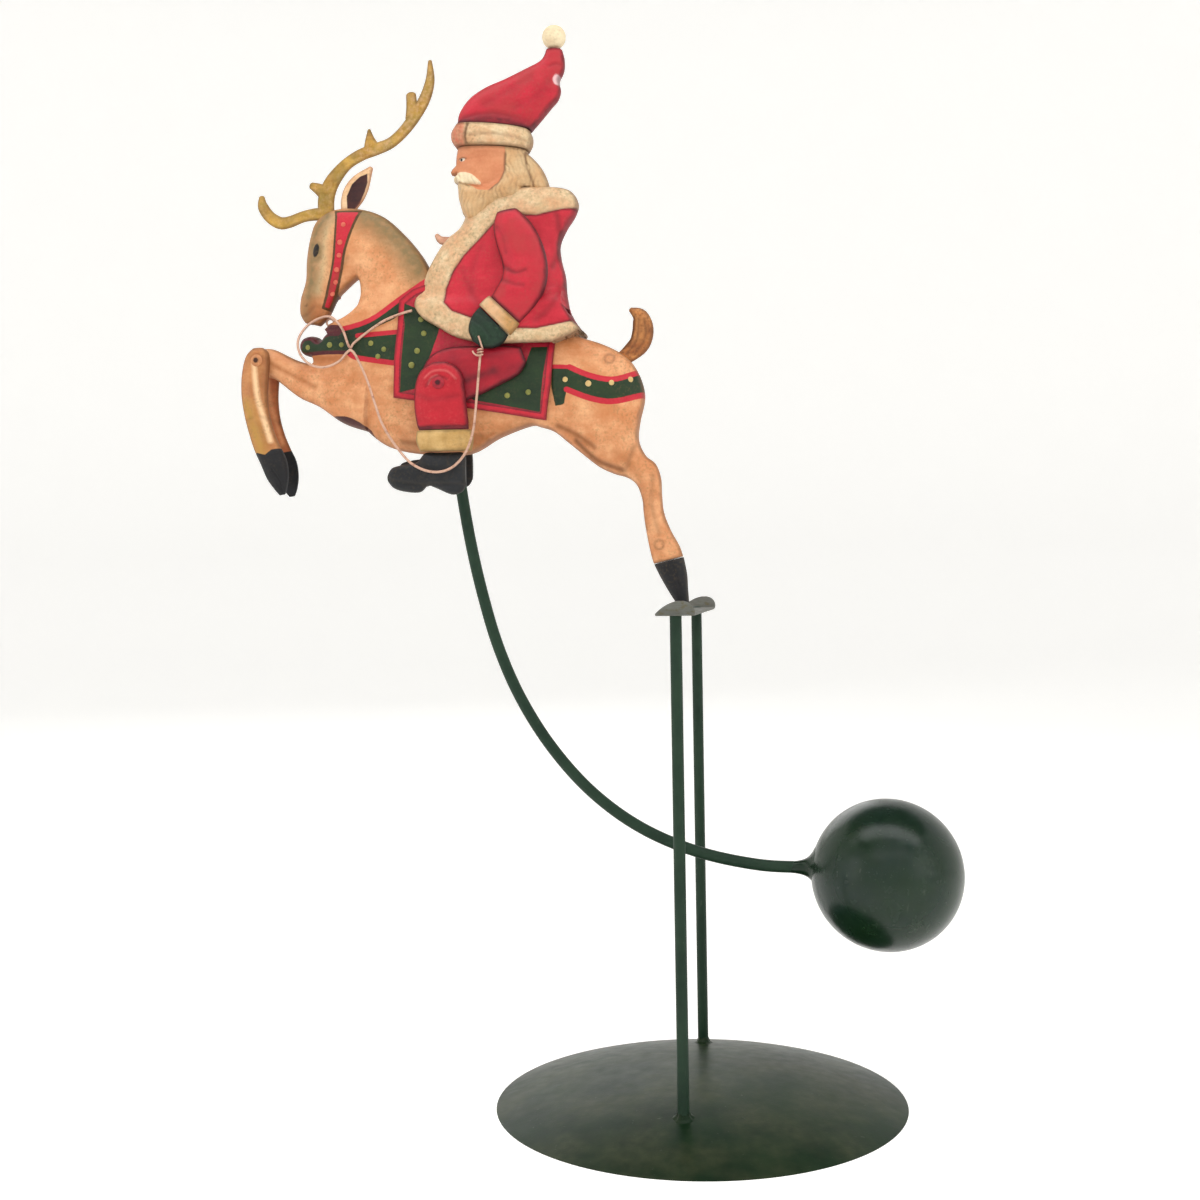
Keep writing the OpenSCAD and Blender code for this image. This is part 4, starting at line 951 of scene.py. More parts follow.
# %% Forelegs
FORELEG_RIBS = [[-165, 102, -161, 102.2, 0.5], [-167.4, 99.6, -158.8, 100.4, 0.85], [-168.8, 96, -158.4, 96.6, 1],
    [-169.8, 90, -158.8, 91, 1], [-169.8, 83, -159.3, 84, 1], [-168.8, 76, -158.8, 77, 0.95],
    [-167.2, 69.4, -157.3, 70.6, 0.95], [-165.2, 63, -155, 64.6, 1], [-162.6, 57, -152.4, 59, 1],
    [-160.2, 51.4, -151.6, 53.4, 0.9], [-157.4, 47.4, -152.2, 48.4, 0.7], [-155.4, 45, -153.2, 45.4, 0.4]]
FORELEG_OUT, LAYER = 5.34, 3.2
FORELEG_HOOF = [(-166, 60.5), (-163.4, 61.6), (-159.8, 60.6), (-157.4, 62.6), (-153, 63.4), (-149, 60), (-149, 43),
    (-160, 43)]
FORELEG_MARKS = [([(-165.4, 92), (-164.4, 80), (-160.6, 66)], 0.5, 0.9),
    ([(-168, 74), (-163, 75.4), (-159, 74.6)], -0.3, 0.8), ([(-157.6, 55), (-154.6, 50), (-153.8, 45)], -0.8, 0.5),
    ([(-166, 60.9), (-159.6, 61), (-153, 63)], 0.3, 0.5)]
SIDES = ("near", "far")


def limb(side, name, node, ribs, depth, out, marks, material, slot, body, layers, shift=(0, 0)):
    """A rounded pressing of one side, whose back is a plane out from the seam."""
    outlines, front = ribbed(ribs, depth, marks, out, 1.2)
    pressed(f"{side}_{name}", outlines, front, slot, [f"{side}_{node}"], material, layers, level(out),
        body if body == "figure" else f"{side}_{body}", 0.5, side == "far", shift)


hoof = ("hoof", BLACK, BLACK_PALE, 0.0)
# The pale line down the ridge of each foreleg is a painted highlight.
foreleg_paints = {
    "near": antiqued("foreleg paint", (174, 106, 60), (204, 145, 91), [hoof], warm=(150, 92, 50), rub_and_shade=0.85, specks=0.6,
        tints=[("ochre", (180, 136, 62), 0.9), ("shade", (140, 74, 42), 0.9), ("ridge", (238, 196, 150), 1.3)]),
    # Painted shade: the far foreleg gets a darker copy of the near leg's paint, as it lies behind it.
    "far": antiqued("far foreleg shaded paint", (160, 84, 48), (196, 122, 76), [hoof], [("ridge", (210, 150, 104), 0.6)],
        warm=(130, 62, 38), rub_and_shade=0.9, specks=0.5)}
foreleg_layers = {
    "rim": lambda P: depth_in(P, rib_outline(FORELEG_RIBS)) + 3 * (depth_in(P, FORELEG_HOOF) > 0),
    "fold": lambda P: in_grooves(FORELEG_MARKS)(P) * (depth_in(P, FORELEG_HOOF) < 0), "hoof": inside_of(FORELEG_HOOF),
    # painted highlight along the foreleg's ridge
    "ridge": beside([(-163.6, 96), (-162.4, 82), (-157.8, 66)], 1.5),
    "shade": beside([(-157, 96), (-157.4, 84), (-152, 66)], 3.6),
    "ochre": beside([(-167, 80), (-164.4, 72), (-161.6, 62)], 4.5)}
for side in SIDES:
    limb(side, "foreleg_limb", "foreleg", FORELEG_RIBS, LAYER, FORELEG_OUT, FORELEG_MARKS, foreleg_paints[side],
        "hide_paint", "foreleg", foreleg_layers)

# %% [markdown]
# ## The saddle cloth
# The cloth is a painted sheet that follows the deer's flank a little further out. Its height is
# the deer's own height plus the gap and the sheet, so it hugs the body everywhere.

# %% Saddle cloth
CLOTH = [(-105.2, 117.5), (-105.9, 108), (-107.4, 95), (-108.2, 80.8), (-98, 79), (-78, 75.6), (-50, 70.6),
    (-47.4, 84), (-46.2, 97), (-45.8, 102.6), (-58, 105.4), (-70, 108.6), (-80, 112.4), (-88, 118), (-94, 124),
    (-100, 121.6)]
CLOTH_FRONT = [(-104, 116.6), (-89.2, 110), (-90.4, 104), (-93, 97), (-96.4, 89), (-98.4, 84), (-105.6, 82.6),
    (-104.6, 95), (-103.2, 108)]
CLOTH_BACK = [(-54.8, 98), (-48.6, 98), (-50.4, 86), (-52, 73.6), (-77.4, 78.8), (-78.4, 82.6), (-71, 84.6),
    (-62.6, 86), (-57.4, 90.6)]
CLOTH_GAP, CLOTH_T, HEM = 0.2, 0.7, 2.0
cloth_paint = antiqued("saddle cloth paint", (168, 24, 46), (196, 40, 62),
    areas=[("corner", GREEN, GREEN_PALE, 0.0), ("hem", RED, RED_PALE, 0.0)], tints=[("hem shade", DARK, 0.7)],
    warm=(150, 20, 42), glaze_and_shade=DARK, rub_and_shade=0.8, specks=0.3)


def cloth_back(P):
    return base_deer(P) + CLOTH_GAP


def cloth_front(P):
    return cloth_back(P) + CLOTH_T + 0.2 * np.clip((HEM - depth_in(P, CLOTH)) / 0.4, 0, 1)


for side in SIDES:
    pressed(f"saddle_cloth_{side}_sheet", [CLOTH], cloth_front, "cloth_paint", [f"saddle_cloth_{side}"], cloth_paint, {
        "corner": inside_of(CLOTH_FRONT, CLOTH_BACK), "hem": lambda P: HEM - depth_in(P, CLOTH),
        "hem shade": lambda P: np.exp(-(((depth_in(P, CLOTH) - HEM - 0.2) / 0.5) ** 2))}, cloth_back, spacing=0.7,
        far=side == "far")

# %% [markdown]
# ## The rider's coat
# The coat closes round the rider like a box with soft sides and spreads into a skirt over the
# deer's back. The fur trim is a raised band, painted cream, with a dark colour in the groove
# beside it that is partly glaze and partly painted shade.

# %% Coat
COAT_DEPTH = 13.0
COAT_RIBS = [[-81.2, 156.7, -51, 159.2, 0.5], [-81.2, 152, -41, 157.8, 0.62], [-81.2, 148.5, -37.4, 153, 0.72],
    [-83.6, 144.4, -38.6, 148.4, 0.79], [-88, 141, -42, 143.4, 0.84], [-92, 136, -44.6, 137.4, 0.88],
    [-95.4, 130, -44.2, 131.4, 0.92], [-97.8, 124, -42.8, 125.4, 0.95], [-98.4, 117, -42.4, 119, 0.98],
    [-96, 112, -41.4, 112.6, 1]]
SKIRT_RIBS = [[-96.6, 127, -46, 128, 0.4], [-98.6, 120.4, -43.4, 121, 0.85], [-99, 115, -43, 115, 1],
    [-96.2, 110.4, -41, 110.4, 1], [-90, 106.4, -38.6, 106.8, 1], [-83, 102.4, -36.6, 103.4, 0.9],
    [-72, 99.4, -46, 99.2, 0.7]]
SKIRT_OUT = 10.8
COAT = [rib_outline(COAT_RIBS), rib_outline(SKIRT_RIBS)]
COAT_RED = [(-66.4, 146.4), (-62, 148), (-57.4, 147.4), (-52, 147), (-42.6, 149.4), (-33, 151), (-33, 107.4),
    (-36.6, 107.2), (-44, 105.6), (-52, 104.2), (-60, 104.6), (-68, 106.6), (-77, 109.2), (-84, 112), (-87.2, 115.4),
    (-86.7, 120.6), (-84, 127), (-79.6, 133), (-73.4, 139)]
COAT_FOLDS = [([(-44.6, 147), (-44, 138), (-46.6, 128)], -0.7, 1.1),
    ([(-40.6, 143), (-42.4, 133), (-41.4, 122)], -0.5, 0.9), ([(-43, 121), (-46, 113), (-52, 107.4)], -0.5, 1.3),
    ([(-80, 128), (-77, 119), (-72, 112)], -0.4, 1.4), ([(-72, 137), (-76, 128), (-76, 120)], -0.3, 1.6)]
coat_paint = antiqued("coat paint", CREAM, CREAM_PALE, areas=[("red", RED, RED_PALE, 0.0)], warm=(214, 152, 108),
    rub_and_shade=0.8, glaze_and_shade=(66, 22, 26), specks=0.5, speck=(120, 112, 76), speck_area="fur")
fur_waves = lambda P: 0.16 * np.sin(P[:, 0] * 2.1 + P[:, 1] * 1.3) * np.sin(P[:, 1] * 2.4 - P[:, 0] * 0.7)


def skirt_plane(P):
    """How far out the skirt's flap lies: it swings out from the seam below the waist."""
    fall = np.clip((127.5 - P[:, 1]) / 14, 0, 1)
    return SKIRT_OUT * fall * fall * (3 - 2 * fall)


def coat_front(P):
    body = rib_height(P, COAT_RIBS, COAT_DEPTH)
    skirt = rib_height(P, SKIRT_RIBS, LAYER)
    form = soft_max(body, np.where(skirt > 0, skirt_plane(P) + skirt * np.clip((128 - P[:, 1]) / 8, 0, 1), 0), 2.0)
    red = depth_in(P, COAT_RED)
    calm = np.clip(within(P, COAT) / 1.5, 0, 1)
    trim = np.clip(-red / 0.7, 0, 1)
    groove = -0.35 * np.exp(-((red - 0.1) / 0.45) ** 2)
    return form + calm * (0.55 * trim + trim * fur_waves(P) + groove + creases(P, COAT_FOLDS) * (1 - trim))


def coat_back(P):
    """The seam inside the body, and behind it a slope up to the back of the skirt's flap."""
    slope = np.clip(1 - depth_in(P, COAT[0]) / 3.5, 0, 1)
    return np.clip(np.minimum(skirt_plane(P) * slope, coat_front(P) - 0.3), 0, None)


def coat_fold(P):
    # Painted shade: the glaze colour darkens the groove beside the fur trim, partly glaze and partly shade.
    beside_red = np.exp(-((depth_in(P, COAT_RED) - 0.15) / 0.4) ** 2)
    return np.clip(beside_red + in_grooves(COAT_FOLDS, 0.7)(P), 0, 1)


for side in SIDES:
    pressed(f"coat_{side}_half", COAT, coat_front, "coat_paint", [f"coat_{side}"], coat_paint, {
        "red": inside_of(COAT_RED), "fold": coat_fold, "fur": lambda P: np.clip(-depth_in(P, COAT_RED) / 2, 0, 0.75)},
        coat_back, spacing=0.65, far=side == "far")

# %% [markdown]
# ## Head, hair and hat
# The head carries a calm, plain face of this lesson's own: an eye, a small nose and a moustache
# in everyday proportions. Hair and beard are combed grooves that follow a line, which is what a
# sine of the distance to that line gives.

# %% Outlines and colours of the head
HEAD_DEPTH, HAIR_PITCH = 8.0, 1.7
HEAD_RIBS = [[-83.4, 175.5, -56.6, 173.3, 0.94], [-84.2, 170, -54.6, 168, 1], [-83.6, 164, -52, 163.4, 1],
    [-82, 157, -50, 159.6, 0.9]]
BEARD = [(-83.2, 165), (-83.6, 161.6), (-83.2, 156), (-81.8, 150.6), (-79.4, 146.6), (-75.4, 146), (-70.6, 148.8),
    (-66, 151.8), (-61, 152.6), (-57, 155), (-57, 163), (-63, 168), (-66, 164), (-71, 161.4), (-78, 161.6)]
FACE = [(-90, 180), (-64.2, 180), (-63.8, 171.4), (-64, 164.8), (-65.8, 160.2), (-69.6, 157.2), (-74, 157.6),
    (-78, 160.4), (-82, 162.6), (-90, 162.6)]
NOSE = [(-82.4, 170.2), (-84.3, 169.4), (-85.9, 167.9), (-86.5, 166.8), (-86.1, 165.9), (-84.6, 165.5), (-82, 165.8)]
MOUSTACHE = smooth([(-84.9, 164.6), (-83.4, 165.7), (-79.4, 165.3), (-75.8, 163.4), (-73.2, 160.2), (-77.4, 160.6),
    (-82, 161.6), (-84.6, 162.6), (-85.2, 163.6), (-84.9, 164.6)], 3)[:-1]
HAIR_FLOW = [(-62, 178), (-60.6, 168), (-58.6, 160), (-60, 150)]
BACK_LOCK = smooth([(-58, 173), (-55.6, 171.6), (-53.4, 169.4), (-51.2, 166.6), (-49.4, 163), (-48.2, 159),
    (-48.4, 156.6), (-52, 155.6), (-57, 156)], 3)
EYELIDS = [([(-82.6, 170.6), (-81, 171.5), (-79, 170.6)], 0.3, 0.5),
    ([(-83.4, 172.6), (-80.8, 173.8), (-77.6, 173)], 0.45, 0.7),
    ([(-76, 168.6), (-75.4, 166.4), (-76, 164.6)], -0.2, 0.7)]
DARK_LINES = [(FACE[2:6], 1.0, 0.45), ([(-82.4, 170.7), (-81, 171.1), (-79.2, 170.6)], 1.0, 0.28),
    ([(-84.6, 161.5), (-81, 160.9), (-77.6, 159.6)], 0.8, 0.4),
    ([(-56.8, 172), (-56, 166), (-53.6, 160), (-53.4, 156)], 0.7, 0.5)]
HEAD = [rib_outline(HEAD_RIBS), np.array(BEARD), np.array(NOSE), BACK_LOCK, MOUSTACHE]
head_paint = antiqued("head paint", (188, 152, 108), (220, 190, 146), [("face", (200, 122, 82), (218, 148, 106), 0.0),
    ("lip", CREAM_PALE, (240, 224, 190), 0.0), ("white", (222, 208, 190), (232, 222, 204), 0.0),
    ("pupil", (34, 26, 24), (52, 40, 34), 0.0)], [("blush", (206, 84, 70), 1.1), ("brow", (236, 216, 176), 1.5)],
    warm=(204, 152, 100), rub_and_shade=0.75, glaze_and_shade=(100, 66, 38), specks=0.25)


# %% The head's height and lines
def combed(P, flow, pitch, rise):
    """Grooves that run along a line, a pitch apart, and wander a little as locks do."""
    wander = 0.5 * np.sin(P[:, 1] * 0.55 + P[:, 0] * 0.2) + 0.28 * np.sin(P[:, 1] * 1.3 - P[:, 0] * 0.5)
    depth = 0.65 + 0.35 * np.sin(P[:, 0] * 0.9 + P[:, 1] * 0.35)
    return rise * depth * np.cos(2 * math.pi * (line_distance(P, smooth(flow, 4)) + wander) / pitch)


def face_depth(P):
    return np.minimum(depth_in(P, FACE), -depth_in(P, MOUSTACHE) + 0.1)


def head_front(P):
    skull = rib_height(P, HEAD_RIBS, HEAD_DEPTH)
    beard = plateau(P, [BEARD], 10.0, 5.5)
    small = [(NOSE, 3.6, 2.4), (BACK_LOCK, 6.5, 4.5), (MOUSTACHE, 4.6, 2.4)]
    small = np.max([plateau(P, [outline], rise, reach) for outline, rise, reach in small], axis=0)
    face = np.clip(face_depth(P) / 0.8, 0, 1)
    combing = combed(P, HAIR_FLOW, HAIR_PITCH, 0.22) * (1 - face)
    cheek = 0.5 * np.clip(spot(P, -77.4, 167, 3.2) / 3.2, 0, 1)
    drawn = combing - 0.7 * face + creases(P, EYELIDS) + cheek + plateau(P, [MOUSTACHE], 1.2, 1.2)
    return soft_max(soft_max(skull, beard, 2.0), small, 1.2) + np.clip(within(P, HEAD) / 1.5, 0, 1) * drawn


def head_fold(P):
    lines = sum(dark * soft_line(P, line, width) for line, dark, width in DARK_LINES)
    return np.clip(lines + 0.5 * np.clip(-combed(P, HAIR_FLOW, HAIR_PITCH, 0.7), 0, 1) * (face_depth(P) < 0), 0, 1)


pressed("rider_head", HEAD, head_front, "skin_paint", ["head_near", "head_far"], head_paint, {
    "face": face_depth, "blush": lambda P: np.clip(spot(P, -77.4, 166.4, 3.4, 0.85) / 3.4, 0, 1) * (face_depth(P) > 0),
    "brow": beside([(-83.6, 173.2), (-80.8, 174.1), (-77.4, 173.2)], 1.2, 0.7), "lip": inside_of(MOUSTACHE),
    "white": lambda P: spot(P, -80.8, 170.3, 1.2, 0.5), "pupil": lambda P: spot(P, -81.2, 170.3, 0.55),
    "fold": head_fold}, spacing=0.45)

# %% Beard curl, hat band and hat
CURL_LINE = [[-84.6, 140.4, 2.2], [-88.2, 140.9, 1.8], [-91, 141.6, 1.5], [-92.6, 143.4, 0.9]]
BAND_RIBS = [[-83.8, 184.4, -55.4, 180.8, 1.02], [-85.6, 181.4, -54.6, 178.6, 1.12], [-85.6, 178.4, -54.8, 176, 1.12],
    [-84, 175.8, -56, 173.6, 1.02]]
HAT_RIBS = [[-83.4, 184.8, -54.8, 181.2, 0.96], [-82.4, 189, -51, 185.2, 0.95], [-78.6, 194, -47, 189.6, 0.9],
    [-72.6, 197.8, -44.4, 192.4, 0.82], [-65, 200.6, -43.4, 195.6, 0.74], [-57, 204, -43.8, 199, 0.64],
    [-51.4, 206.6, -42, 203, 0.52], [-49.4, 209, -41.8, 207.4, 0.44], [-48.8, 211, -42.6, 210.8, 0.38]]
BAND_MARKS = [([(-78.1, 183), (-79, 178), (-78, 174)], -0.7, 0.6),
    ([(-77, 178.6), (-66, 178.2), (-56.6, 176)], -0.25, 0.7)]
HAT_MARKS = [([(-80, 186), (-68, 186.6), (-54, 183)], -0.4, 1.0), ([(-72, 190), (-62, 195), (-54, 200)], -0.22, 1.6),
    ([(-60, 188), (-52, 192), (-47, 198)], -0.25, 1.5), ([(-47, 203.6), (-44.6, 204.6), (-42.4, 204)], -0.3, 0.7)]
curl_paint = antiqued("curl paint", (214, 150, 120), (236, 190, 160))
fur_paint = antiqued("fur paint", CREAM, CREAM_PALE, warm=(216, 156, 110), rub_and_shade=0.8, glaze_and_shade=(100, 70, 44), specks=0.5,
    speck=(122, 112, 74), speck_area="fur", tints=[("front", (196, 104, 78), 0.8), ("gold", (190, 138, 74), 0.8)])
red_paint = antiqued("red paint", RED, RED_PALE, tints=[("shade", (96, 22, 34), 0.8), ("chip", (232, 190, 190), 1.6)],
    warm=(172, 48, 50), rub_and_shade=0.85, glaze_and_shade=DARK, speck=(158, 66, 62))
curl_shape, band_shape = [strip(CURL_LINE)], [rib_outline(BAND_RIBS)]


def band_height(P):
    drawn = fur_waves(P) * 1.6 + creases(P, BAND_MARKS)
    return rib_height(P, BAND_RIBS, HEAD_DEPTH) + 0.5 + np.clip(within(P, band_shape), 0, 1) * drawn


pressed("beard_curl_hook", curl_shape, lambda P: plateau(P, curl_shape, 0.7, 0.9), "fur_paint", ["beard_curl"],
    curl_paint, spacing=0.4)
pressed("hat_band_roll", band_shape, band_height, "fur_paint", ["hat_band_near", "hat_band_far"], fur_paint, {
    "fold": in_grooves(BAND_MARKS, 1.5), "fur": level(0.5), "front": lambda P: np.clip((-78.6 - P[:, 0]) / 1.5, 0, 1)},
    spacing=0.45)
# A small pale spot is painted near the hat's back edge.
pressed("hat_cone", *ribbed(HAT_RIBS, HEAD_DEPTH, HAT_MARKS), "coat_paint", ["hat_near", "hat_far"], red_paint, {
    "fold": in_grooves(HAT_MARKS, 0.7), "shade": beside([(-83, 184.6), (-68, 184.4), (-54.6, 181)], 2.6),
    "chip": lambda P: np.clip(spot(P, -44.2, 198.8, 1.7, 1.3) * 1.5, 0, 1)}, spacing=0.55)

# %% [markdown]
# ## Arms and legs
# Sleeve, cuff and mitten lie in layers on the coat, and thigh, shin and boot lie on the saddle
# cloth. Each is a flat-backed pressing. The far leg hangs a little further forward and higher
# than the near one, as the CAD has it.

# %% Arms
ARM_DEPTH, SLEEVE_OUT, CUFF_OUT = 5.6, 12.0, 14.2
SLEEVE_RIBS = [[-66.4, 147.6, -58.6, 149, 0.5], [-67.6, 142.6, -54, 144.4, 0.8], [-66.6, 136, -50, 137.6, 0.95],
    [-64.6, 129.4, -47.6, 129, 1], [-64.4, 124.4, -48, 120.6, 1], [-66.8, 119.8, -51.6, 113, 0.95],
    [-69, 116.6, -57.8, 106.2, 0.85]]
CUFF_RIBS = [[-69.3, 116.8, -58, 106, 1], [-71.2, 115.4, -59.6, 103.8, 1.1], [-73.2, 113.6, -61.6, 101.8, 1]]
MITTEN_RIBS = [[-73, 112.8, -62.4, 101.9, 0.8], [-76, 109.4, -64.2, 99.2, 0.95], [-77.4, 104.6, -67.4, 97.4, 0.95],
    [-76, 100.2, -71.8, 97.2, 0.6]]
SLEEVE_MARKS = [([(-62.6, 146.4), (-60.6, 136), (-57, 127)], 0.5, 2.2),
    ([(-64, 127.6), (-59, 124.6), (-55, 125.4)], -0.6, 0.9),
    ([(-64.6, 122.6), (-60.4, 120.6), (-56, 119.6)], -0.4, 0.9), ([(-66, 142), (-63, 138), (-62, 132)], -0.35, 1.0)]
MITTEN_MARKS = [([(-75.6, 108), (-71, 104.6), (-68.4, 100.6)], -0.4, 0.6),
    ([(-73.6, 110.6), (-68.6, 106.4), (-66, 101)], -0.35, 0.6)]
mitten_paint = antiqued("mitten paint", (12, 36, 22), (23, 52, 31), tints=[("shade", (10, 24, 20), 0.7)],
    glaze_and_shade=(10, 20, 18), rub_and_shade=0.7, specks=0.25, speck=(80, 116, 86))


def limbs(rows, fold, shade, layers, far_shift=(0, 0)):
    """The near and the far piece of each row, darker in the folds and along the edge."""
    for side in SIDES:
        for row in rows:
            ribs, marks = row[2], row[5]
            own = {"fold": in_grooves(marks, fold), "shade": near_edge(rib_outline(ribs), shade)}
            limb(side, *row, layers | own, far_shift if side == "far" else (0, 0))


limbs([
    ("arm_sleeve", "arm", SLEEVE_RIBS, ARM_DEPTH, SLEEVE_OUT, SLEEVE_MARKS, red_paint, "coat_paint", "figure"),
    ("cuff_roll", "cuff", CUFF_RIBS, LAYER, CUFF_OUT, [], fur_paint, "fur_paint", "figure"),
    ("mitten_shell", "mitten", MITTEN_RIBS, LAYER, CUFF_OUT, MITTEN_MARKS, mitten_paint, "cloth_paint", "figure"),
], 1.0, 0.9, {"fur": level(0.4), "gold": lambda P: np.clip((P[:, 0] + 66) / 4, 0, 1)})

# %% Legs
THIGH_OUT, THIGH_T, SHIN_OUT = 10.8, 3.4, 14.6
FAR_LEG_SHIFT = (-4.5, 4)
THIGH_RIBS = [[-58.4, 97.8, -56.4, 92, 0.5], [-66, 98.6, -59.4, 87.6, 0.85], [-76, 98.8, -66, 84.2, 1],
    [-86, 98.6, -73, 81, 1], [-93, 95.6, -78.4, 79, 1], [-96.4, 90, -84, 77, 1], [-96.6, 84.2, -91.6, 77.6, 0.8]]
SHIN_RIBS = [[-91.2, 92.7, -85.8, 92.7, 0.5], [-95, 90.6, -82, 90.6, 0.85], [-97.2, 87.4, -79.9, 87.4, 1],
    [-98.4, 82.6, -79.2, 82.6, 1], [-98.6, 76, -78.6, 76, 1], [-97.8, 70, -78, 70, 1], [-97, 67.6, -78, 67.4, 0.95]]
BOOT_CUFF_RIBS = [[-97.8, 67.3, -76.6, 67.1, 1.08], [-98.2, 63.4, -76.2, 63.2, 1.2], [-96.6, 59.5, -77, 59.3, 1.08]]
BOOT_RIBS = [[-109.2, 51.4, -109.2, 48.4, 0.5], [-107.4, 53.8, -107, 46, 0.85], [-103, 54.8, -102.6, 44.6, 1],
    [-98, 55.6, -97, 44.3, 1], [-94.6, 59, -93.2, 44.8, 1], [-90, 59, -90.2, 45.2, 1], [-84.4, 59, -85, 43.2, 1],
    [-80.8, 58.9, -81, 44, 0.9], [-79.2, 57.4, -79.2, 46.6, 0.6]]
BOOT_RIBS[4][2:4], BOOT_RIBS[5][2:4] = [-94, 46.6], [-91, 45.8]  # the arch in front of the heel
THIGH_MARKS = [([(-64, 96), (-76, 93.6), (-88, 93)], 0.4, 2.0), ([(-68, 89), (-78, 86), (-86, 84)], -0.4, 1.6)]
KNEE_ARCS = [[(-93.9, 86.7), (-91.2, 88.8), (-87.8, 89.4), (-84.6, 88.6), (-82.1, 86.2)],
    [(-92.4, 84.4), (-91.4, 86.6), (-89, 87.6)]]
SHIN_MARKS = [(KNEE_ARCS[0], 0.3, 0.45), ([(-93.4, 83.6), (-91.4, 86.2), (-88.4, 87.2), (-85.4, 86)], -0.35, 0.5),
    ([(-98, 68.4), (-88, 68.6), (-78, 68.4)], -0.6, 0.6), ([(-96, 80), (-90, 78.6), (-82, 79.4)], -0.2, 1.2)]
BOOT_MARKS = [([(-109, 49.4), (-96, 47.4), (-90.6, 47.6), (-80, 47)], -0.5, 0.5),
    ([(-96, 56), (-94, 52), (-96.6, 49)], -0.35, 0.7), ([(-86, 58), (-85, 53), (-86.6, 49)], -0.3, 0.7)]
STREAKS = [([(x, 68), (x - 0.6, 63), (x, 59)], -0.1, 0.6) for x in (-92, -85.6, -80.2)]
shin_paint = antiqued("shin paint", (168, 15, 32), (192, 28, 44), tints=[("shade", (96, 18, 32), 0.7),
    ("arc", (210, 108, 104), 0.6)], rub_and_shade=0.75, glaze_and_shade=DARK, specks=0.12, speck=(220, 110, 100))
thigh_paint = antiqued("thigh paint", (156, 14, 34), (184, 24, 44), tints=[("shade", (80, 18, 28), 0.9)],
    warm=(130, 14, 34), rub_and_shade=0.9, glaze_and_shade=DARK, specks=0.15, speck=(180, 70, 70))
cuff_paint = antiqued("boot cuff paint", (186, 144, 80), (212, 176, 118), warm=(160, 122, 54), rub_and_shade=0.8,
    glaze_and_shade=(110, 84, 50), specks=0.4)
boot_paint = antiqued("boot paint", (14, 16, 19), (30, 32, 36), glaze_and_shade=(70, 62, 50), rub_and_shade=0.3, specks=0.12, rough=0.46)
limbs([
    ("thigh_shell", "thigh", THIGH_RIBS, THIGH_T, THIGH_OUT, THIGH_MARKS, thigh_paint, "coat_paint", "figure"),
    ("shin_shell", "shin", SHIN_RIBS, LAYER, SHIN_OUT, SHIN_MARKS, shin_paint, "coat_paint", "leg"),
    ("boot_cuff_roll", "boot_cuff", BOOT_CUFF_RIBS, LAYER, SHIN_OUT, STREAKS, cuff_paint, "fur_paint", "leg"),
    ("boot_shell", "boot", BOOT_RIBS, LAYER, SHIN_OUT, BOOT_MARKS, boot_paint, "hoof_paint", "leg"),
], 1.5, 0.8, {"arc": lambda P: np.max([near_line(P, line, 0.6) for line in KNEE_ARCS], axis=0)}, FAR_LEG_SHIFT)

# %% [markdown]
# ## Wire and rod
# The long arm, the rein and the bit ring are bent from round stock. A tube is swept along a
# smooth curve with its rings turned as little as possible from one to the next, so that it has
# no twist.

# %% A round tube along a route
def tube(name, path, diameter, sides, nodes, material, closed=False):
    """A piece of round stock bent along a path of (x, out of the seam, z)."""
    path = np.asarray(path, float) * (1, -1, 1)
    along = np.roll(path, -1, axis=0) - np.roll(path, 1, axis=0) if closed else np.gradient(path, axis=0)
    along /= np.linalg.norm(along, axis=1)[:, None]
    side = np.cross(along[0], (0.31, 0.9, 0.17))
    angles = np.linspace(0, 2 * math.pi, sides, endpoint=False)
    points = []
    for p, t in zip(path, along):
        side = side - t * (side @ t)
        side /= np.linalg.norm(side)
        over = np.cross(t, side)
        points += [p + diameter / 2 * (math.cos(a) * side + math.sin(a) * over) for a in angles]
    if not closed:
        points += [path[0], path[-1]]
    solid(name, points, skin(len(path), sides, closed), "figure", nodes, material)


ARM_ROUTE = [(-88.9, 84), (-86.5, 62), (-85, 48), (-81.7, 27), (-77.2, 6), (-71.2, -15), (-62.6, -35), (-50.6, -54),
    (-35.6, -70.6), (-17.6, -83.6), (BALL_X - 70.8, 8.1 - BALL_DROP), (BALL_X - 48, 3.3 - BALL_DROP)]
ARM_ROUTE += [(BALL_X - BALL_D / 2 + x, ARM_RISE - BALL_DROP) for x in (-1, 12, 18)]
tube("counterweight_rod", smooth([(x, 0, z) for x, z in ARM_ROUTE], 8), 4.4, 24, ["counterweight_arm"],
    stand_enamel)

# %% Rein, knot and bit ring
REIN_OUT = 19.9
REIN_ROUTE = [[-99.8, 113, 11.6], [-104, 112.2, 10.9], [-111, 109.8, 10.6], [-118, 105.6, 10.4], [-123, 102, 10.2],
    [-124.9, 100.4, 10.2], [-127.6, 107.6, 10.4], [-132.4, 112.4, 8.6], [-138, 112.8, 5.2], [-143, 109.6, 6.4],
    [-145.4, 104, 9.4], [-144.2, 98.4, 10.8], [-140, 94.2, 11.4], [-134.4, 93, 11.6], [-128.6, 95, 11.6],
    [-124, 99, 11.8], [-120.4, 94, 12.4], [-116.6, 86, 14], [-112.6, 77, REIN_OUT - 1.4], [-109.6, 69.6, REIN_OUT],
    [-105, 62, REIN_OUT], [-99, 55, REIN_OUT], [-91.6, 51.6, REIN_OUT], [-84.4, 52.4, REIN_OUT],
    [-78.6, 57.6, REIN_OUT], [-75.2, 66, REIN_OUT], [-73.6, 78, REIN_OUT], [-72.8, 88, REIN_OUT - 1],
    [-72.4, 96, REIN_OUT - 3]]
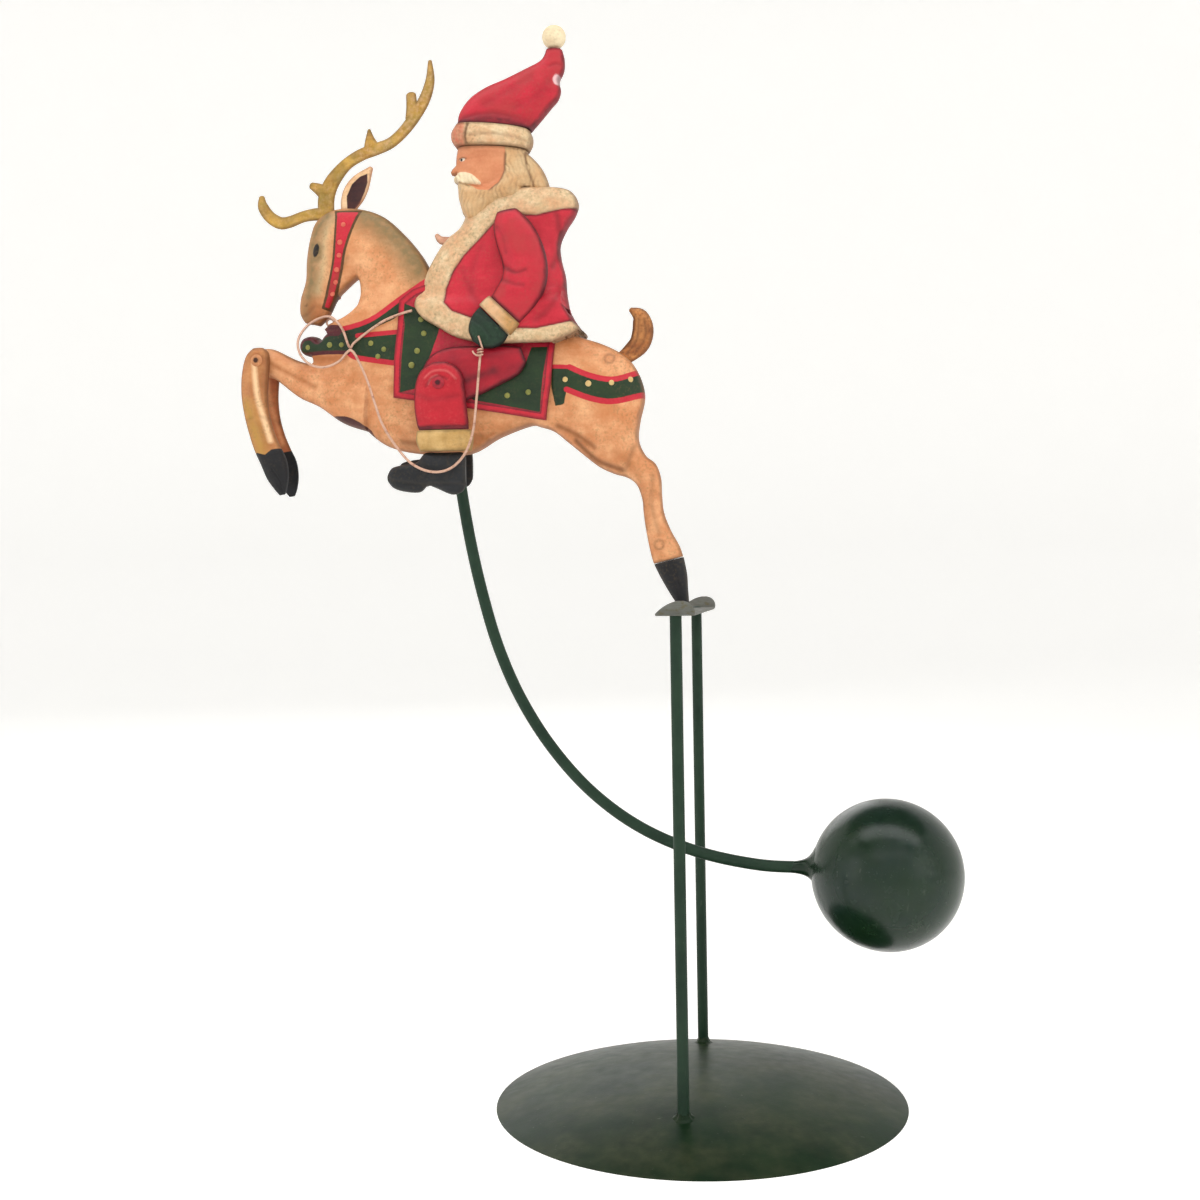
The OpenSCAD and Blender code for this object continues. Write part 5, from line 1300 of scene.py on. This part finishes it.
RING_X, RING_Z, RING_R = -135.6, 111.8, 1.4
tube("rein", smooth([(x, w, z) for x, z, w in REIN_ROUTE], 8), 1.0, 12, ["rein_wire"], wire)
ring = [(RING_X + RING_R * math.cos(a), 0, RING_Z + RING_R * math.sin(a)) for a in ROUND]
tube("bit_ring_wire", ring, 0.8, 12, ["bit_ring"], wire, closed=True)

# %% [markdown]
# ## The wire knot and the pompom
# Where the rein passes the mitten its end is wound round itself: a helix round the wire. The
# pompom on the cap is a turned ball with a rough, speckled coat of paint.

# %% Knot and pompom
KNOT = np.array([(-72.5, 17, 96.8), (-72.6, 17.4, 94.6)])
TURNS, TURN_R = 2, 0.9
wound = [(-72.9, 18.1, 101.4), (-72.3, 18, 99.6), (-71.9, 17.7, 98)]
for part in np.arange(30) / 29:
    a = part * 2 * math.pi * TURNS
    wound.append(KNOT[0] + (KNOT[1] - KNOT[0]) * part + (TURN_R * math.cos(a), TURN_R * math.sin(a), 0))
wound += [(-73.2, 18.1, 94.2), (-74.6, 17.9, 94.9), (-75.3, 17.6, 96)]
tube("rein_knot", smooth(wound, 3), 0.7, 10, [], wire)

POMPOM_R, HAT_TIP = 4.5, HAT_RIBS[-1]
pompom_paint = antiqued("pompom paint", (212, 186, 146), (238, 222, 186), rub_and_shade=0.0, glaze_and_shade=(120, 92, 60),
    speck=(150, 130, 92))
bm = bmesh.new()
bmesh.ops.create_icosphere(bm, subdivisions=5, radius=POMPOM_R)
ball = np.array([v.co for v in bm.verts])
triangles = np.array([[v.index for v in f.verts] for f in bm.faces])
bm.free()
bumps = np.sin(ball[:, 0] * 2.3 + 1) * np.sin(ball[:, 1] * 2.1) * np.sin(ball[:, 2] * 2.6 + 2)
ball *= (1 + 0.012 * bumps)[:, None]
ball += ((HAT_TIP[0] + HAT_TIP[2]) / 2, 0, HAT_TIP[1] + POMPOM_R + 0.3)
solid("pompom_ball", ball, triangles, "figure", ["pompom"], pompom_paint, {"rim": 9.0})

# %% [markdown]
# ## Drops of paint
# The bridle and the straps carry small raised drops of cream paint. They repeat along a line, so
# Geometry Nodes set a squashed ball on each point of a small mesh, with its own size.

# %% A tree that sets a drop on every point
def drop_tree(material):
    group = bpy.data.node_groups.new("paint drops", "GeometryNodeTree")
    face = group.interface
    face.new_socket("Geometry", in_out="INPUT", socket_type="NodeSocketGeometry")
    face.new_socket("Drop size", in_out="INPUT", socket_type="NodeSocketFloat")
    face.new_socket("Size range", in_out="INPUT", socket_type="NodeSocketFloat")
    face.new_socket("Geometry", in_out="OUTPUT", socket_type="NodeSocketGeometry")
    t = Tree(group)
    mesh, size, size_range = (Value(t, socket) for socket in t.nodes.new("NodeGroupInput").outputs[:3])
    points = t.node("GeometryNodeMeshToPoints", {}, {"Mesh": mesh})
    ball = t.node("GeometryNodeMeshIcoSphere", {}, {"Radius": 1.0, "Subdivisions": 3})
    chance = t.node("FunctionNodeRandomValue", {"data_type": "FLOAT"}, {2: 1.0 - size_range, 3: 1.0, "Seed": 5}, 1)
    wide = chance * size
    scale = t.node("ShaderNodeCombineXYZ", {}, {"X": wide, "Y": wide * 0.5, "Z": wide})
    drops = t.node("GeometryNodeInstanceOnPoints", {}, {"Points": points, "Instance": ball, "Scale": scale})
    real = t.node("GeometryNodeRealizeInstances", {}, {0: drops})
    done = t.node("GeometryNodeSetMaterial", {}, {0: real, "Material": material})
    t.feed(t.nodes.new("NodeGroupOutput"), {0: done})
    return group


# %% Where the drops are
BRIDLE_DROPS = [(-127.5, 147.8), (-128.8, 141), (-129.3, 136.1), (-130.6, 130.8), (-131.5, 126.3), (-133.2, 122.1)]
CHEST_DROPS = [(-142.5, 101.5), (-133.3, 101.9), (-128.5, 101.7), (-116.7, 101.7), (-111.6, 99.2), (-114, 96.6)]
RIBBON_DROPS = [(-42, 85.3), (-33.3, 83.5), (-24.7, 83.6), (-17.9, 84.8)]
CORNER_DROPS = [(-95.8, 104.5), (-100.7, 92.7), (-56, 81), (-98.4, 98), (-64, 80), (-97, 110)]
drop_paint = antiqued("drop paint", (196, 160, 98), (224, 196, 136), rub_and_shade=0.0, specks=0.0)
bridle_drop_paint = antiqued("bridle drop paint", (196, 70, 62), (220, 118, 92), rub_and_shade=0.0, specks=0.0)
gold_paint = antiqued("gold drop paint", (104, 112, 52), (150, 144, 74), rub_and_shade=0.0, specks=0.0)


def drops(name, places, height, size, material, slot):
    """Drops on both sides of a mirrored surface, as one plain mesh."""
    P = np.array(places, float)
    seeds = bpy.data.meshes.new(name + " places")
    both = np.vstack([np.column_stack([P[:, 0], side * height(P), P[:, 1]]) for side in (-1, 1)])
    seeds.from_pydata(placed(both).tolist(), [], [])
    maker = put(name + " maker", seeds)
    modifier = maker.modifiers.new("drops", "NODES")
    modifier.node_group = drop_tree(material)
    sockets = {s.name: s.identifier for s in modifier.node_group.interface.items_tree if s.in_out == "INPUT"}
    modifier[sockets["Drop size"]] = size / 1000
    modifier[sockets["Size range"]] = 0.25
    bpy.context.view_layer.update()
    made = bpy.data.meshes.new_from_object(maker.evaluated_get(bpy.context.evaluated_depsgraph_get()))
    made.shade_smooth()
    set_layers(made, material, {"rim": 9.0})
    bpy.data.objects.remove(maker)
    piece = put(name, made)
    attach(piece, "figure")
    print(name, len(made.vertices), "points")


drops("bridle_drops", BRIDLE_DROPS, deer_height, 1.05, bridle_drop_paint, "hide_paint")
drops("chest_drops", CHEST_DROPS, deer_height, 1.1, gold_paint, "hide_paint")
drops("ribbon_drops", RIBBON_DROPS, deer_height, 1.15, drop_paint, "hide_paint")
drops("corner_drops", CORNER_DROPS, lambda P: cloth_back(P) + CLOTH_T, 1.2, gold_paint, "cloth_paint")

# %% [markdown]
# ## Camera, floor and light
# The camera stands where the photograph's did: about 0.6 m away, a little to the right and
# almost level. The floor runs up into a white backdrop, and large soft lights leave one broad
# highlight on the ball.

# %% Camera
YAW, PITCH, ROLL, FOCAL = 0.1462, 0.0149, -0.0168, 1528.2476  # angles, and the focal length in pixels
SENSOR, PIXELS = 36, 1200
EYE = (49.0906, -573.0733, 198.3334)
turn = Matrix.Rotation(YAW, 4, "Z") @ Matrix.Rotation(math.pi / 2 - PITCH, 4, "X") @ Matrix.Rotation(ROLL, 4, "Z")
camera_data = bpy.data.cameras.new("camera")
camera_data.sensor_width, camera_data.lens = SENSOR, FOCAL * SENSOR / PIXELS
camera_data.clip_start = 0.01
camera = put("camera", camera_data)
camera.matrix_world = turn
camera.location = Vector(EYE) / 1000
bpy.context.scene.camera = camera
print("camera lens", round(camera_data.lens, 2), "mm")

# %% Floor and backdrop
BOWL = [(0.9, 0), (1.5, 0), (2.1, 0.05), (2.6, 0.25), (2.9, 0.7), (3.0, 1.4), (3.0, 3.0)]  # radius and height in metres


def backdrop():
    """A floor that curves up into a wall all round, as one bowl."""
    n = 64
    angles = [2 * math.pi * i / n for i in range(n)]
    points = [(0, 0, 0)] + [(r * math.cos(a), r * math.sin(a), z) for r, z in BOWL for a in angles]
    faces = [(0, 1 + i, 1 + (i + 1) % n) for i in range(n)]
    for a in range(1, 1 + (len(BOWL) - 1) * n, n):
        faces += [(a + i, a + n + i, a + n + (i + 1) % n, a + (i + 1) % n) for i in range(n)]
    mesh = bpy.data.meshes.new("studio floor")
    mesh.from_pydata(points, [], faces)
    mesh.update()
    mesh.shade_smooth()
    return put("studio_floor", mesh)


floor = backdrop()
pale = Paint("studio white")
pale.finish(srgb((244, 243, 240)), 0.75, pale.noise(30), 0.0, specular=0.1)
pale.feed(pale.shader, {"Emission Color": (1, 1, 1, 1), "Emission Strength": 0.35})
floor.data.materials.append(pale.material)


# %% Lights
def softbox(name, place, aim, width, height, power):
    light = bpy.data.lights.new(name, "AREA")
    light.shape, light.size, light.size_y, light.energy = "RECTANGLE", width, height, power
    lamp = put(name, light)
    lamp.location = place
    lamp.rotation_euler = (Vector(aim) - Vector(place)).to_track_quat("-Z", "Y").to_euler()


middle = (-0.02, 0, 0.2)
softbox("key light", (0.1, -0.9, 1.1), middle, 1.2, 0.6, 1.9)
softbox("top light", (0.05, -0.25, 1.25), (0.07, 0, 0.09), 2.2, 0.45, 10)
softbox("left light", (-1.3, -0.8, 0.5), middle, 0.9, 0.9, 2)
softbox("right light", (1.3, -0.9, 0.6), middle, 0.9, 0.9, 2)
softbox("back light", (-0.5, 1.3, 0.8), middle, 1.0, 0.8, 2.6)
world = bpy.data.worlds.new("studio")
world.use_nodes = True
world.node_tree.nodes["Background"].inputs["Color"].default_value = (1, 1, 1, 1)
world.node_tree.nodes["Background"].inputs["Strength"].default_value = 0.1
bpy.context.scene.world = world
bpy.context.scene.view_settings.view_transform = "Standard"
